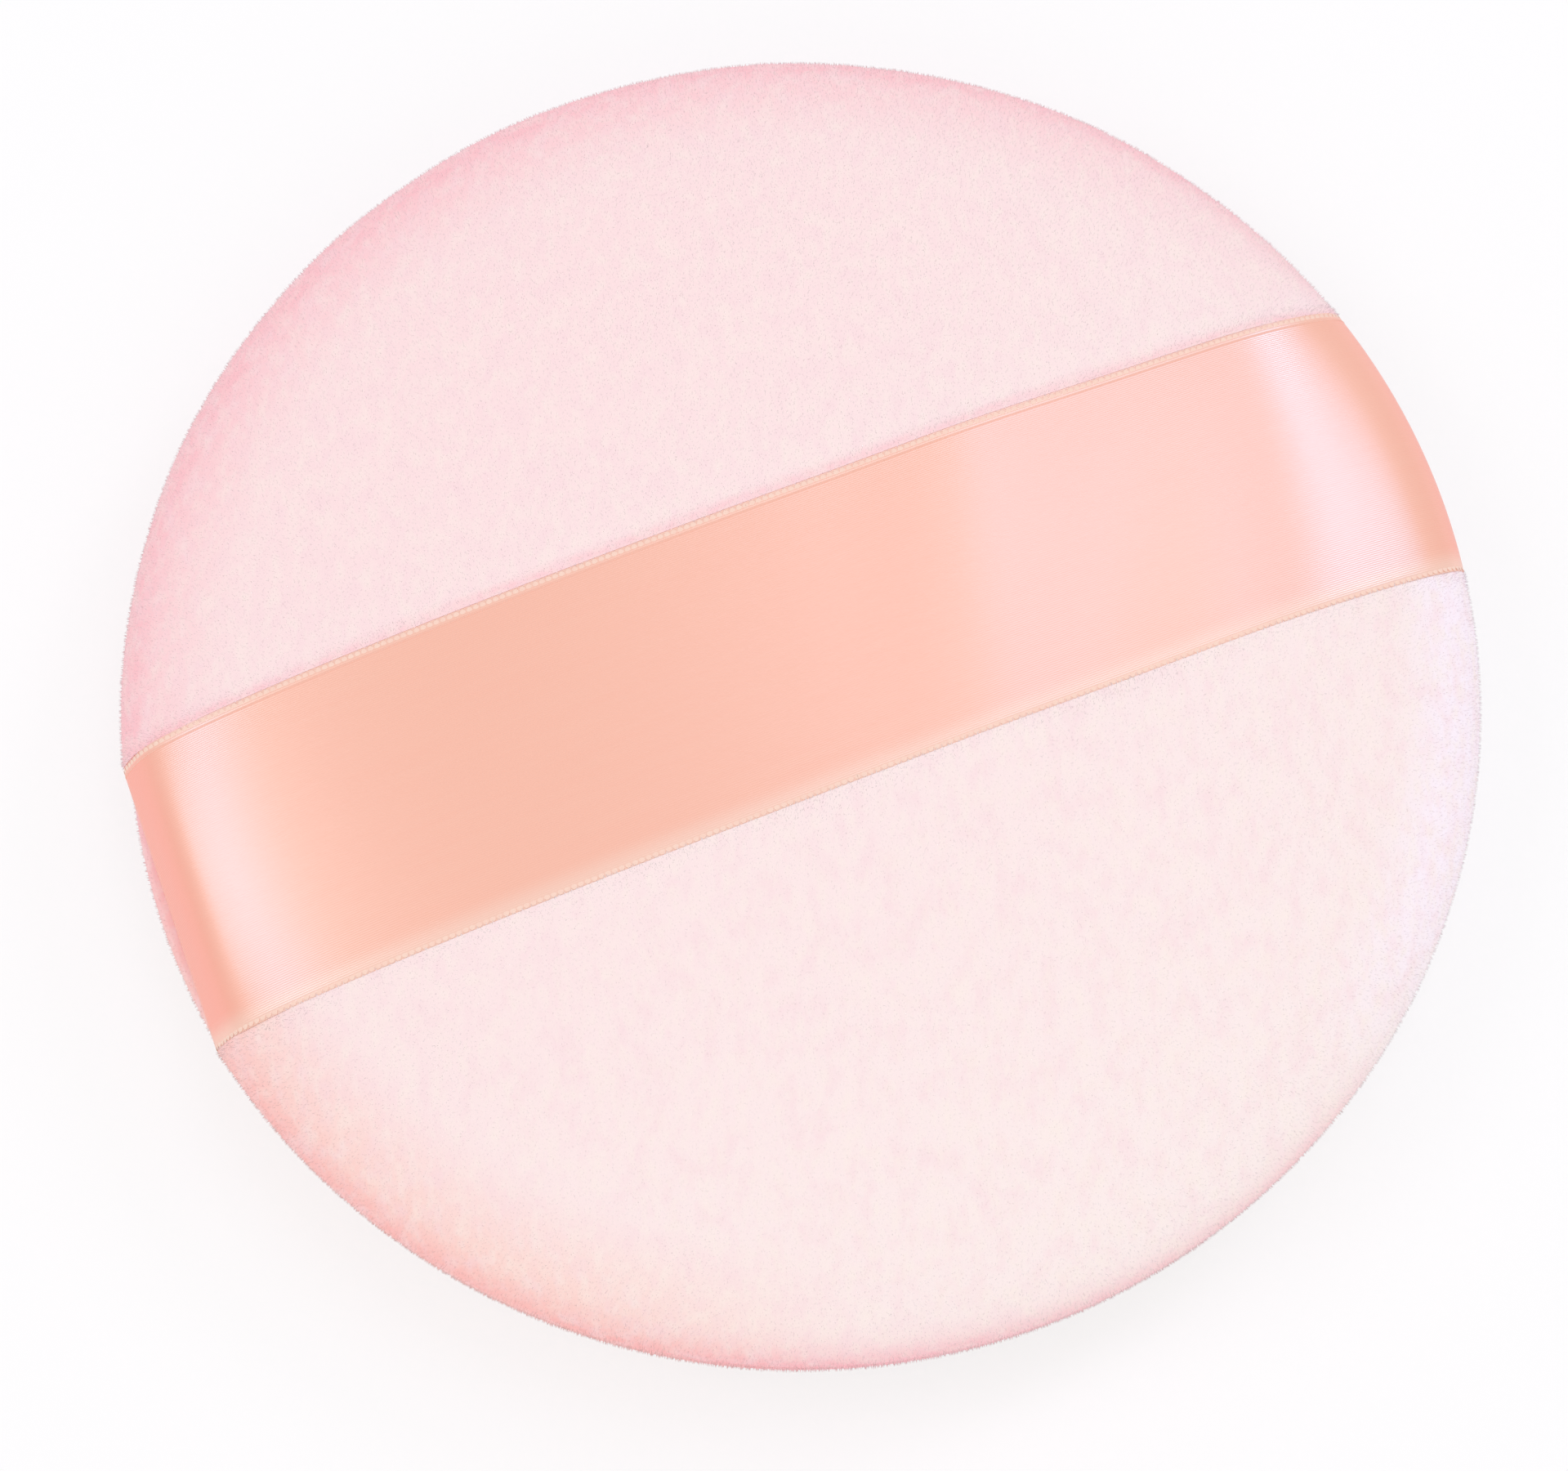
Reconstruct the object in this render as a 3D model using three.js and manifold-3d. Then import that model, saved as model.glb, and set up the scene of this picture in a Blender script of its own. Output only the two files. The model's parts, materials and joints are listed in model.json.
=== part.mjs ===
// Round velour powder puff with a satin ribbon strap across its back.
// Millimetres, +Z up, +X along the ribbon. The origin is the centre of the face that it rests on.

import * as THREE from "three";
import { mergeVertices } from "three/addons/utils/BufferGeometryUtils.js";
import Module from "manifold-3d";

const wasm = await Module();
wasm.setup();

// Pad
const PUFF_DIAMETER = 90; // across the velour at the rim
const UPPER_RISE = 8.2; // from the seam plane to the top of the crown
const LOWER_RISE = 7.4; // from the seam plane to the resting face
const REST_CUT = 0.5; // how far the lower crown is pressed flat where the puff rests
const CROWN_POWER = 2.4; // exponent of the pillow section: 2 is an ellipse, more is squarer
const VELOUR_THICKNESS = 2; // knitted back and pile together

// Rim seam
const SEAM_FOLD = 1; // pressed velour: radius of the turned edge and thickness of the allowance
const SEAM_ALLOWANCE = 6; // from the rim in to the cut edge
const SEAM_STITCH = 7; // length of one stitch, hole to hole
const TURNING_GAP = 36; // length of rim left open to turn and fill the pad
const CLOSING_STITCH = 3; // length of one closing stitch
const THREAD_DIAMETER = 0.4;

// Ribbon
const RIBBON_WIDTH = 20;
const RIBBON_THICKNESS = 0.3;
const RIBBON_LIE = 0.5; // height of the ribbon's back over the crown
const RIBBON_END_REACH = 4; // how far the sewn end reaches in from its fold over the rim

// Fit and facets
const FIT_GAP = 0.3; // clearance between neighbouring pieces
const ROUND_STEPS = 40;
const CROWN_STEPS = 8;
const INSIDE_STEPS = 6;
const FOLD_STEPS = 3;
const THREAD_SIDES = 4;

const VELOUR = new THREE.MeshStandardMaterial({ color: 0xfbdfe0, roughness: 0.95, metalness: 0 });
const SATIN = new THREE.MeshStandardMaterial({ color: 0xf9c5b3, roughness: 0.4, metalness: 0 });
const FOAM = new THREE.MeshStandardMaterial({ color: 0xfaf3e6, roughness: 1, metalness: 0 });
const THREAD = new THREE.MeshStandardMaterial({ color: 0xf4cfd0, roughness: 0.7, metalness: 0 });

// Heights are measured from the seam plane, and the whole pad is raised by LOWER_RISE at the end.
const rimRadius = PUFF_DIAMETER / 2;
const allowanceFace = FIT_GAP / 2;
const foldBase = allowanceFace + SEAM_FOLD;
const cutEdgeRadius = rimRadius - SEAM_ALLOWANCE;
const stitchRadius = (cutEdgeRadius + rimRadius - SEAM_FOLD) / 2;
const upperCrown = { rise: UPPER_RISE - foldBase, cut: 0 };
const lowerCrown = { rise: LOWER_RISE + REST_CUT - foldBase, cut: REST_CUT };
const ribbonRise = upperCrown.rise + RIBBON_LIE;
const ribbonFoldX = Math.sqrt(rimRadius ** 2 - (RIBBON_WIDTH / 2) ** 2);
const ribbonSplitX = ribbonFoldX - RIBBON_END_REACH;
const gapAngle = TURNING_GAP / rimRadius;

// Closed geometry to a solid that can be cut.
function toSolid(geometry) {
  const plain = geometry.clone();
  plain.deleteAttribute("normal");
  plain.deleteAttribute("uv");
  const merged = mergeVertices(plain, 1e-4);
  const triVerts = [];
  for (let i = 0; i < merged.index.count; i += 3) {
    const corners = [0, 1, 2].map((k) => merged.index.getX(i + k));
    if (new Set(corners).size === 3) triVerts.push(...corners);
  }
  const vertProperties = new Float32Array(merged.attributes.position.array);
  const mesh = new wasm.Mesh({ numProp: 3, vertProperties, triVerts: new Uint32Array(triVerts) });
  return new wasm.Manifold(mesh);
}

// Solid back to a geometry for a mesh.
function toGeometry(solid) {
  const { vertProperties, triVerts } = solid.getMesh();
  const geometry = new THREE.BufferGeometry();
  geometry.setAttribute("position", new THREE.BufferAttribute(vertProperties, 3));
  geometry.setIndex(new THREE.BufferAttribute(triVerts, 1));
  geometry.computeVertexNormals();
  return geometry;
}

// Points on the pillow section between two radii, in height over the turned edge.
function crownPoints(rim, rise, fromRadius, toRadius, steps = CROWN_STEPS) {
  const angleAt = (radius) => Math.asin(Math.min(1, radius / rim) ** (CROWN_POWER / 2));
  const [first, last] = [angleAt(fromRadius), angleAt(toRadius)];
  return Array.from({ length: steps + 1 }, (_, i) => {
    const angle = first + ((last - first) * i) / steps;
    const height = rise * Math.max(0, Math.cos(angle)) ** (2 / CROWN_POWER);
    return new THREE.Vector2(rim * Math.sin(angle) ** (2 / CROWN_POWER), height);
  });
}

// One face of the pillow from its axis to a radius, flat over the middle where it is pressed.
function facePoints(rim, { rise, cut }, toRadius, steps) {
  if (cut === 0) return crownPoints(rim, rise, 0, toRadius, steps);
  const flatRadius = rim * (1 - (1 - cut / rise) ** CROWN_POWER) ** (1 / CROWN_POWER);
  return [new THREE.Vector2(0, rise - cut), ...crownPoints(rim, rise, flatRadius, toRadius, steps)];
}

// Quarter turn from the side of a form in to the plane under it.
function foldPoints(centreX, centreY, radius) {
  return Array.from({ length: FOLD_STEPS }, (_, i) => {
    const angle = ((i + 1) / FOLD_STEPS) * (Math.PI / 2);
    return new THREE.Vector2(centreX + radius * Math.cos(angle), centreY - radius * Math.sin(angle));
  });
}

function raise(points, height) {
  return points.map((point) => new THREE.Vector2(point.x, point.y + height));
}

// Section of a face inside the cover, set in by a distance.
function innerFace(crown, inset, toRadius) {
  return facePoints(rimRadius - inset, { rise: crown.rise - inset, cut: crown.cut }, toRadius, INSIDE_STEPS);
}

// Velour cover above the seam plane: crown, turned edge, seam allowance and inside face.
function coverGeometry(crown) {
  const inner = innerFace(crown, VELOUR_THICKNESS, rimRadius - VELOUR_THICKNESS);
  const profile = [
    ...raise(facePoints(rimRadius, crown, rimRadius), foldBase),
    ...foldPoints(rimRadius - SEAM_FOLD, foldBase, SEAM_FOLD),
    new THREE.Vector2(cutEdgeRadius, allowanceFace),
    new THREE.Vector2(cutEdgeRadius, foldBase),
    ...raise(inner, foldBase).reverse(),
  ];
  return new THREE.LatheGeometry(profile.reverse(), ROUND_STEPS).rotateX(Math.PI / 2);
}

// Foam disc, die-cut to fit inside the seam allowances and domed by the two covers.
function foamGeometry() {
  const inset = VELOUR_THICKNESS + FIT_GAP;
  const edgeRadius = cutEdgeRadius - FIT_GAP;
  const upper = raise(innerFace(upperCrown, inset, edgeRadius), foldBase);
  const lower = raise(innerFace(lowerCrown, inset, edgeRadius), foldBase);
  const below = lower.map((point) => new THREE.Vector2(point.x, -point.y));
  return new THREE.LatheGeometry([...below, ...upper.reverse()], ROUND_STEPS).rotateX(Math.PI / 2);
}

// Back of the ribbon from a place on the crown out to its fold at the rim and in along its sewn tail.
function ribbonEndPath(fromX, tailX) {
  const foldRadius = foldBase - RIBBON_THICKNESS / 2;
  return [
    ...raise(crownPoints(ribbonFoldX, ribbonRise, fromX, ribbonFoldX), foldBase),
    ...foldPoints(ribbonFoldX - foldRadius, foldBase, foldRadius),
    new THREE.Vector2(tailX, RIBBON_THICKNESS / 2),
  ];
}

// Back of the ribbon over the crown, from one split to the other.
function ribbonBandPath() {
  const half = raise(crownPoints(ribbonFoldX, ribbonRise, 0, ribbonSplitX - FIT_GAP / 2), foldBase);
  const mirrored = half.slice(1).map((point) => new THREE.Vector2(-point.x, point.y));
  return [...mirrored.reverse(), ...half];
}

// Strip along a path, from a depth behind it to a height in front of it, centred on the ribbon's width.
function stripGeometry(path, behind, front, width) {
  const offset = (distance) =>
    path.map((point, i) => {
      const before = path[Math.max(0, i - 1)];
      const after = path[Math.min(path.length - 1, i + 1)];
      const tangent = after.clone().sub(before).normalize();
      return new THREE.Vector2(point.x - tangent.y * distance, point.y + tangent.x * distance);
    });
  const outline = new THREE.Shape([...offset(-behind), ...offset(front).reverse()]);
  const strip = new THREE.ExtrudeGeometry(outline, { depth: width, bevelEnabled: false });
  return strip.rotateX(Math.PI / 2).translate(0, width / 2, 0);
}

// Room that a sewn end of the ribbon needs in a cover, open past the cut edge of the allowance.
// The side is 1 for the right end and -1 for the left.
function ribbonRoom(side, front) {
  const path = ribbonEndPath(0, cutEdgeRadius - SEAM_ALLOWANCE);
  const room = stripGeometry(path, FIT_GAP, front, RIBBON_WIDTH + 2 * FIT_GAP);
  return toSolid(room.rotateZ(side > 0 ? 0 : Math.PI));
}

// Places of the stitch holes along the machine-sewn part of the seam, from one end of the gap to the other.
function stitchAngles() {
  const sewn = 2 * Math.PI - gapAngle;
  const count = Math.round((sewn * stitchRadius) / SEAM_STITCH);
  return Array.from({ length: count }, (_, i) => Math.PI / 2 + gapAngle / 2 + (sewn * (i + 0.5)) / count);
}

// Needle holes through both seam allowances and the ribbon tails, clear of the crowns.
function stitchHoles() {
  const width = THREAD_DIAMETER + 2 * FIT_GAP;
  const height = 2 * foldBase + FIT_GAP;
  return stitchAngles().map((angle) => {
    const hole = new THREE.BoxGeometry(width, width, height).translate(stitchRadius, 0, 0);
    return toSolid(hole.rotateZ(angle));
  });
}

function cutAll(solid, tools) {
  return tools.reduce((left, tool) => left.subtract(tool), solid);
}

// Path of straight thread runs, cornered exactly at its points.
class ThreadPath extends THREE.Curve {
  constructor(points) {
    super();
    this.points = points;
  }

  getPoint(t, target = new THREE.Vector3()) {
    const place = Math.min(Math.max(t, 0), 1) * (this.points.length - 1);
    const first = Math.min(Math.floor(place), this.points.length - 2);
    return target.lerpVectors(this.points[first], this.points[first + 1], place - first);
  }

  getUtoTmapping(u) {
    return u;
  }
}

function threadGeometry(points) {
  const section = new THREE.Shape(
    Array.from({ length: THREAD_SIDES }, (_, i) => {
      const angle = (2 * Math.PI * (i + 0.5)) / THREAD_SIDES;
      return new THREE.Vector2(Math.cos(angle), Math.sin(angle)).multiplyScalar(THREAD_DIAMETER / 2);
    }),
  );
  const extrudePath = new ThreadPath(points);
  return new THREE.ExtrudeGeometry(section, { steps: points.length - 1, extrudePath, bevelEnabled: false });
}

function rimPoint(radius, angle, height) {
  return new THREE.Vector3(radius * Math.cos(angle), radius * Math.sin(angle), height);
}

// Running stitches that pass through the seam allowances at each needle hole.
function seamThreadGeometry() {
  const run = foldBase + FIT_GAP + THREAD_DIAMETER / 2;
  const angles = stitchAngles();
  const lead = (angles[1] - angles[0]) / 2;
  const points = [rimPoint(stitchRadius, angles[0] - lead, run)];
  angles.forEach((angle, i) => {
    const side = i % 2 === 0 ? 1 : -1;
    points.push(rimPoint(stitchRadius, angle, side * run), rimPoint(stitchRadius, angle, -side * run));
  });
  const lastSide = angles.length % 2 === 0 ? 1 : -1;
  points.push(rimPoint(stitchRadius, angles[angles.length - 1] + lead, lastSide * run));
  return threadGeometry(points);
}

// Closing stitches that cross between the two turned edges, in the mouth of the seam groove.
function closingThreadGeometry() {
  const crossing = THREAD_DIAMETER / 4;
  const reach = SEAM_FOLD + THREAD_DIAMETER / 2 + FIT_GAP / 2;
  const radius = rimRadius - SEAM_FOLD + Math.sqrt(reach ** 2 - (foldBase - crossing) ** 2);
  const count = Math.round(TURNING_GAP / CLOSING_STITCH);
  const points = Array.from({ length: count + 1 }, (_, i) => {
    const angle = Math.PI / 2 + gapAngle * (i / count - 0.5);
    return rimPoint(radius, angle, i % 2 === 0 ? crossing : -crossing);
  });
  return threadGeometry(points);
}

function addPiece(group, name, geometry, material) {
  const piece = new THREE.Mesh(geometry, material);
  piece.name = name;
  group.add(piece);
}

const holes = stitchHoles();
const upperRooms = [1, -1].map((side) => ribbonRoom(side, UPPER_RISE));
const lowerRooms = [1, -1].map((side) => ribbonRoom(side, RIBBON_THICKNESS + FIT_GAP));
const upperCover = cutAll(toSolid(coverGeometry(upperCrown)), [...upperRooms, ...holes]);
const lowerCover = cutAll(toSolid(coverGeometry(lowerCrown).rotateX(Math.PI)), [...lowerRooms, ...holes]);

const endPath = ribbonEndPath(ribbonSplitX + FIT_GAP / 2, cutEdgeRadius);
const ribbonEnd = stripGeometry(endPath, 0, RIBBON_THICKNESS, RIBBON_WIDTH);
const rightEnd = cutAll(toSolid(ribbonEnd), holes);
const leftEnd = cutAll(toSolid(ribbonEnd.clone().rotateZ(Math.PI)), holes);

const puff = new THREE.Group();
puff.name = "powder_puff";
puff.position.z = LOWER_RISE;
addPiece(puff, "upper_cover", toGeometry(upperCover), VELOUR);
addPiece(puff, "lower_cover", toGeometry(lowerCover), VELOUR);
addPiece(puff, "foam_core", foamGeometry(), FOAM);
addPiece(puff, "ribbon_band", stripGeometry(ribbonBandPath(), 0, RIBBON_THICKNESS, RIBBON_WIDTH), SATIN);
addPiece(puff, "ribbon_end_left", toGeometry(leftEnd), SATIN);
addPiece(puff, "ribbon_end_right", toGeometry(rightEnd), SATIN);
addPiece(puff, "seam_thread", seamThreadGeometry(), THREAD);
addPiece(puff, "closing_thread", closingThreadGeometry(), THREAD);

export default puff;
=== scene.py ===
"""Round velour powder puff with a satin ribbon strap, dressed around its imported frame.

Lengths are metres in the frame's own axes: +Z up, +X along the ribbon.
"""

from __future__ import annotations

import json
import logging
import math
from collections.abc import Iterable
from dataclasses import asdict, dataclass
from enum import Enum

import bmesh
import bpy
import numpy as np
from mathutils import Matrix, Vector, noise

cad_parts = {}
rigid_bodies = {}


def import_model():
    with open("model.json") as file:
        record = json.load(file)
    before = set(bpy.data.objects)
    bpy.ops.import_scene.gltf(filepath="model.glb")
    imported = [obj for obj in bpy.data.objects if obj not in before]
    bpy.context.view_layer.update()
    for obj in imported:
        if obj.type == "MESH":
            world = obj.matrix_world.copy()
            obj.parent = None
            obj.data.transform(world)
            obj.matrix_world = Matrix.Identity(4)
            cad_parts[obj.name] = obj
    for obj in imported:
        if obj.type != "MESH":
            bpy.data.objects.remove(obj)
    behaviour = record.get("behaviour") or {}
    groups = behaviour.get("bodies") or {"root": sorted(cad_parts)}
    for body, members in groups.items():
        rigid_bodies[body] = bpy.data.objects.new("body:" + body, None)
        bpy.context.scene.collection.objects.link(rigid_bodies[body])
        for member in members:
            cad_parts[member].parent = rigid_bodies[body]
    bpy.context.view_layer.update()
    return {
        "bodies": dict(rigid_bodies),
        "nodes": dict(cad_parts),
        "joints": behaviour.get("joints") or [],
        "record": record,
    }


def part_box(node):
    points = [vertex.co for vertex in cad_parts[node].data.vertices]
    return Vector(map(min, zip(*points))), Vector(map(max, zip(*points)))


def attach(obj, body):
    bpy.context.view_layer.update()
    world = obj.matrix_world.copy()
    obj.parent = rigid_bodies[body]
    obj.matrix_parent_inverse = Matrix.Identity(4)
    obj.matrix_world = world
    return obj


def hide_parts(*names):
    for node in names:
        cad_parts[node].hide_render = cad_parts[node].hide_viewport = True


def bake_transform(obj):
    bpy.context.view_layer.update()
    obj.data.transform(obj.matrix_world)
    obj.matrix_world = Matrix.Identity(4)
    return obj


LOG = logging.getLogger("powder_puff")

PAD_BODY = "pad"
BAKE_MAP = "OFBake"
WEAVE_MAP = "weave"
MM = 0.001
TINY = 1e-9
FULL_TURN = 2 * math.pi
QUARTER_TURN = math.pi / 2
CRISP_ANGLE = math.radians(50)
NOISE_ROUGHNESS = 0.6
BAR_SIDES = 6

Colour = tuple[float, float, float]
Place = tuple[float, float, float]
Span = tuple[float, float]
Corners = list[tuple[int, ...]]
Feeds = dict[str | int, object]
Socket = bpy.types.NodeSocket


class Choice(Enum):
    """Named choice that lends its word to the names of pieces."""

    @property
    def label(self) -> str:
        """Word for this choice in piece names."""
        return self.name.lower()


class Face(Choice):
    """The two velour faces of the pad, with the way that each one bulges."""

    UPPER = 1
    LOWER = -1


class End(Choice):
    """The two sewn ends of the ribbon, with their side along X."""

    LEFT = -1
    RIGHT = 1


class PileZone(Choice):
    """Parts of a velour face whose pile is one piece each."""

    CROWN = "crown"
    RIM = "rim"


@dataclass(frozen=True)
class PadSizes:
    """Sizes of the sewn pad, read from the frame's nodes."""

    rim_radius: float
    seam_z: float
    seam_gap: float
    crown_z: float
    rest_z: float
    ribbon_half_width: float
    ribbon_top_z: float
    ribbon_fold_x: float
    cut_edge_radius: float
    foam_radius: float
    crown_power: float = 2.4
    seam_fold: float = 1.0 * MM
    rest_cut: float = 0.5 * MM
    velour_thickness: float = 2.0 * MM
    ribbon_thickness: float = 0.3 * MM

    @classmethod
    def from_frame(cls) -> PadSizes:
        """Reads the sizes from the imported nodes.

        Returns:
            The sizes that every piece of the scene is worked out from.
        """
        upper_low, upper_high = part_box("upper_cover")
        lower_low, lower_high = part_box("lower_cover")
        band_low, band_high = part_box("ribbon_band")
        rim_radius = (lower_high[1] - lower_low[1]) / 2
        half_width = (band_high[1] - band_low[1]) / 2
        return cls(
            rim_radius=rim_radius,
            seam_z=(upper_low[2] + lower_high[2]) / 2,
            seam_gap=upper_low[2] - lower_high[2],
            crown_z=upper_high[2],
            rest_z=lower_low[2],
            ribbon_half_width=half_width,
            ribbon_top_z=band_high[2],
            ribbon_fold_x=math.sqrt(rim_radius**2 - half_width**2),
            cut_edge_radius=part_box("ribbon_end_right")[0][0],
            foam_radius=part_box("foam_core")[1][0],
        )

    @property
    def fold_base(self) -> float:
        """Height of the top of the turned edge over the seam plane."""
        return self.seam_gap / 2 + self.seam_fold

    def rise(self, face: Face) -> float:
        """Height of a face's whole crown over its turned edge.

        Args:
            face: Which face.

        Returns:
            The height, with what the lower face loses where it rests.
        """
        if face is Face.UPPER:
            return self.crown_z - self.seam_z - self.fold_base
        return self.seam_z - self.rest_z + self.rest_cut - self.fold_base

    def crown_height(self, radius: np.ndarray, rim: float, rise: float) -> np.ndarray:
        """Pillow section of the pad.

        Args:
            radius: Distances from the axis.
            rim: Radius at which the section turns down to nothing.
            rise: Height of the section on the axis.

        Returns:
            Heights over the turned edge.
        """
        share = np.clip(np.abs(radius) / rim, 0.0, 1.0)
        return rise * (1.0 - share**self.crown_power) ** (1.0 / self.crown_power)

    def rested(self, face: Face, height: np.ndarray, rise: float) -> np.ndarray:
        """Heights of a face's section, cut flat where the lower face rests."""
        return np.minimum(height, rise - self.rest_cut) if face is Face.LOWER else height

    def past_ribbon(self, places: np.ndarray) -> np.ndarray:
        """Distance of each point past the nearer edge of the ribbon."""
        return np.abs(places[:, 1]) - self.ribbon_half_width


def link_object(name: str, data: bpy.types.ID) -> bpy.types.Object:
    """Links a new object at the origin.

    Args:
        name: Name of the object.
        data: Mesh, lamp or camera that it holds.

    Returns:
        The linked object.
    """
    obj = bpy.data.objects.new(name, data)
    bpy.context.scene.collection.objects.link(obj)
    return obj


def link_mesh(name: str, points: np.ndarray, faces: Corners, edges: Corners | None = None) -> bpy.types.Object:
    """Makes a mesh object at the origin.

    Args:
        name: Name of the piece.
        points: Places as an array of rows.
        faces: Corner numbers of each face.
        edges: Corner numbers of edges that belong to no face.

    Returns:
        The linked object.
    """
    mesh = bpy.data.meshes.new(name)
    mesh.from_pydata(points.tolist(), edges or [], faces)
    mesh.update()
    return link_object(name, mesh)


def grid_quads(numbers: np.ndarray) -> Corners:
    """Quads between neighbours in a grid of point numbers."""
    corners = (numbers[:-1, :-1], numbers[1:, :-1], numbers[1:, 1:], numbers[:-1, 1:])
    return np.stack(corners, axis=-1).reshape(-1, 4).tolist()


def rows_of(items: bpy.types.bpy_prop_collection, key: str) -> np.ndarray:
    """Reads one vector from each item of a mesh.

    Args:
        items: Vertices or vertex normals of the mesh.
        key: Name of the vector.

    Returns:
        One row for each item.
    """
    flat = np.empty(len(items) * 3)
    items.foreach_get(key, flat)
    return flat.reshape(-1, 3)


def points_of(mesh: bpy.types.Mesh) -> np.ndarray:
    """Vertex places of a mesh as an array of rows."""
    return rows_of(mesh.vertices, "co")


def normals_of(mesh: bpy.types.Mesh) -> np.ndarray:
    """Vertex normals of a mesh as an array of rows."""
    return rows_of(mesh.vertex_normals, "vector")


def move_points(mesh: bpy.types.Mesh, points: np.ndarray) -> None:
    """Writes vertex places back to a mesh."""
    mesh.vertices.foreach_set("co", points.ravel())
    mesh.update()


def set_point_values(mesh: bpy.types.Mesh, **named: np.ndarray) -> None:
    """Stores numbers on the vertices under names that materials and node trees read.

    Args:
        mesh: Mesh to store them on.
        named: One number for each vertex, by name.
    """
    for name, values in named.items():
        layer = mesh.attributes.get(name) or mesh.attributes.new(name, "FLOAT", "POINT")
        layer.data.foreach_set("value", values.astype(np.float32))


def set_uv(mesh: bpy.types.Mesh, name: str, per_vertex: np.ndarray) -> None:
    """Stores a UV map.

    Args:
        mesh: Mesh to store it on.
        name: Name of the map.
        per_vertex: Place in the map for each vertex.
    """
    layer = mesh.uv_layers.get(name) or mesh.uv_layers.new(name=name)
    corners = np.empty(len(mesh.loops), dtype=np.int32)
    mesh.loops.foreach_get("vertex_index", corners)
    layer.data.foreach_set("uv", per_vertex[corners].astype(np.float32).ravel())


def shade_smooth(mesh: bpy.types.Mesh) -> None:
    """Shades every face of a mesh smooth."""
    mesh.polygons.foreach_set("use_smooth", np.ones(len(mesh.polygons), dtype=bool))
    mesh.update()


def finish_shell(shell: bmesh.types.BMesh, mesh: bpy.types.Mesh) -> None:
    """Turns a closed shell's faces out and shades it smooth up to its sharp edges.

    Args:
        shell: The shell; it is used up.
        mesh: Mesh that it is written to.
    """
    bmesh.ops.recalc_face_normals(shell, faces=shell.faces)
    for edge in shell.edges:
        edge.smooth = edge.calc_face_angle(0.0) < CRISP_ANGLE
    shell.to_mesh(mesh)
    shell.free()
    shade_smooth(mesh)


def baked_copy(obj: bpy.types.Object, name: str) -> bpy.types.Object:
    """Turns an object with modifiers into a plain mesh piece and removes the source.

    Args:
        obj: Source object with its modifiers set.
        name: Name of the new piece.

    Returns:
        The plain piece at the origin.
    """
    depsgraph = bpy.context.evaluated_depsgraph_get()
    mesh = bpy.data.meshes.new_from_object(obj.evaluated_get(depsgraph), depsgraph=depsgraph)
    source = obj.data
    bpy.data.objects.remove(obj)
    bpy.data.meshes.remove(source)
    mesh.name = name
    return link_object(name, mesh)


def smoothstep(values: np.ndarray, low: float, high: float) -> np.ndarray:
    """Eases from 0 at low to 1 at high."""
    t = np.clip((values - low) / (high - low), 0.0, 1.0)
    return t * t * (3.0 - 2.0 * t)


def facing(flat: np.ndarray, way: Span) -> np.ndarray:
    """Cosine between the way out from the axis to each point and another way."""
    return flat @ np.array(way) / np.maximum(np.hypot(*flat.T), TINY)


def step_lengths(points: np.ndarray) -> np.ndarray:
    """Distances between the points of a line."""
    return np.linalg.norm(np.diff(points, axis=0), axis=1)


def line_length(points: np.ndarray) -> float:
    """Length along a line of points."""
    return float(step_lengths(points).sum())


def even_steps(points: np.ndarray, count: int) -> np.ndarray:
    """Spreads points evenly along a line of points.

    Args:
        points: The line, one row for each point.
        count: How many steps to take along it.

    Returns:
        count + 1 points at equal distances along the line.
    """
    lengths = np.concatenate([[0.0], np.cumsum(step_lengths(points))])
    places = np.linspace(0.0, lengths[-1], count + 1)
    return np.stack([np.interp(places, lengths, column) for column in points.T], axis=1)


def layered_noise(places: np.ndarray, scale: float, octaves: int) -> np.ndarray:
    """Smooth noise in space, from about -1 to 1.

    Args:
        places: Points to read it at.
        scale: Features for each metre.
        octaves: How many layers of finer noise.

    Returns:
        One value for each point.
    """
    total = np.zeros(len(places))
    for octave in range(octaves):
        fine = scale * 2**octave
        layer = np.array([noise.noise(Vector(place)) for place in places * fine])
        total += layer / 2**octave
    return total


class NodeSheet:
    """Short hand for placing and wiring nodes in one tree."""

    def __init__(self, tree: bpy.types.NodeTree) -> None:
        """Keeps the tree that nodes are added to."""
        self.tree = tree

    def add(self, kind: str, feeds: Feeds | None = None, **settings: object) -> bpy.types.Node:
        """Adds a node.

        Args:
            kind: Blender's type name of the node.
            feeds: What its inputs get.
            settings: Properties to set on it.

        Returns:
            The new node.
        """
        node = self.tree.nodes.new(kind)
        for key, value in settings.items():
            setattr(node, key, value)
        self.feed(node, feeds or {})
        return node

    def feed(self, node: bpy.types.Node, feeds: Feeds) -> None:
        """Links sockets to a node's inputs, and sets plain values on them.

        Args:
            node: The node.
            feeds: Socket or value for each input, by its name or number. Colours are opaque.
        """
        for key, source in feeds.items():
            target = node.inputs[key]
            if isinstance(source, Socket):
                self.tree.links.new(source, target)
            elif target.type == "RGBA":
                target.default_value = (*source, 1.0)
            else:
                target.default_value = source

    def math(self, operation: str, first: object, second: object = 0.0) -> Socket:
        """Result of a Math node on two sockets or numbers."""
        return self.add("ShaderNodeMath", {0: first, 1: second}, operation=operation).outputs[0]

    def vector_math(self, operation: str, first: object, second: object) -> Socket:
        """Result of a Vector Math node on two sockets or vectors."""
        return self.add("ShaderNodeVectorMath", {0: first, 1: second}, operation=operation).outputs[0]

    def scaled(self, vector: object, factor: object) -> Socket:
        """Vector scaled by a socket or a number."""
        return self.add("ShaderNodeVectorMath", {0: vector, "Scale": factor}, operation="SCALE").outputs[0]


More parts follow.
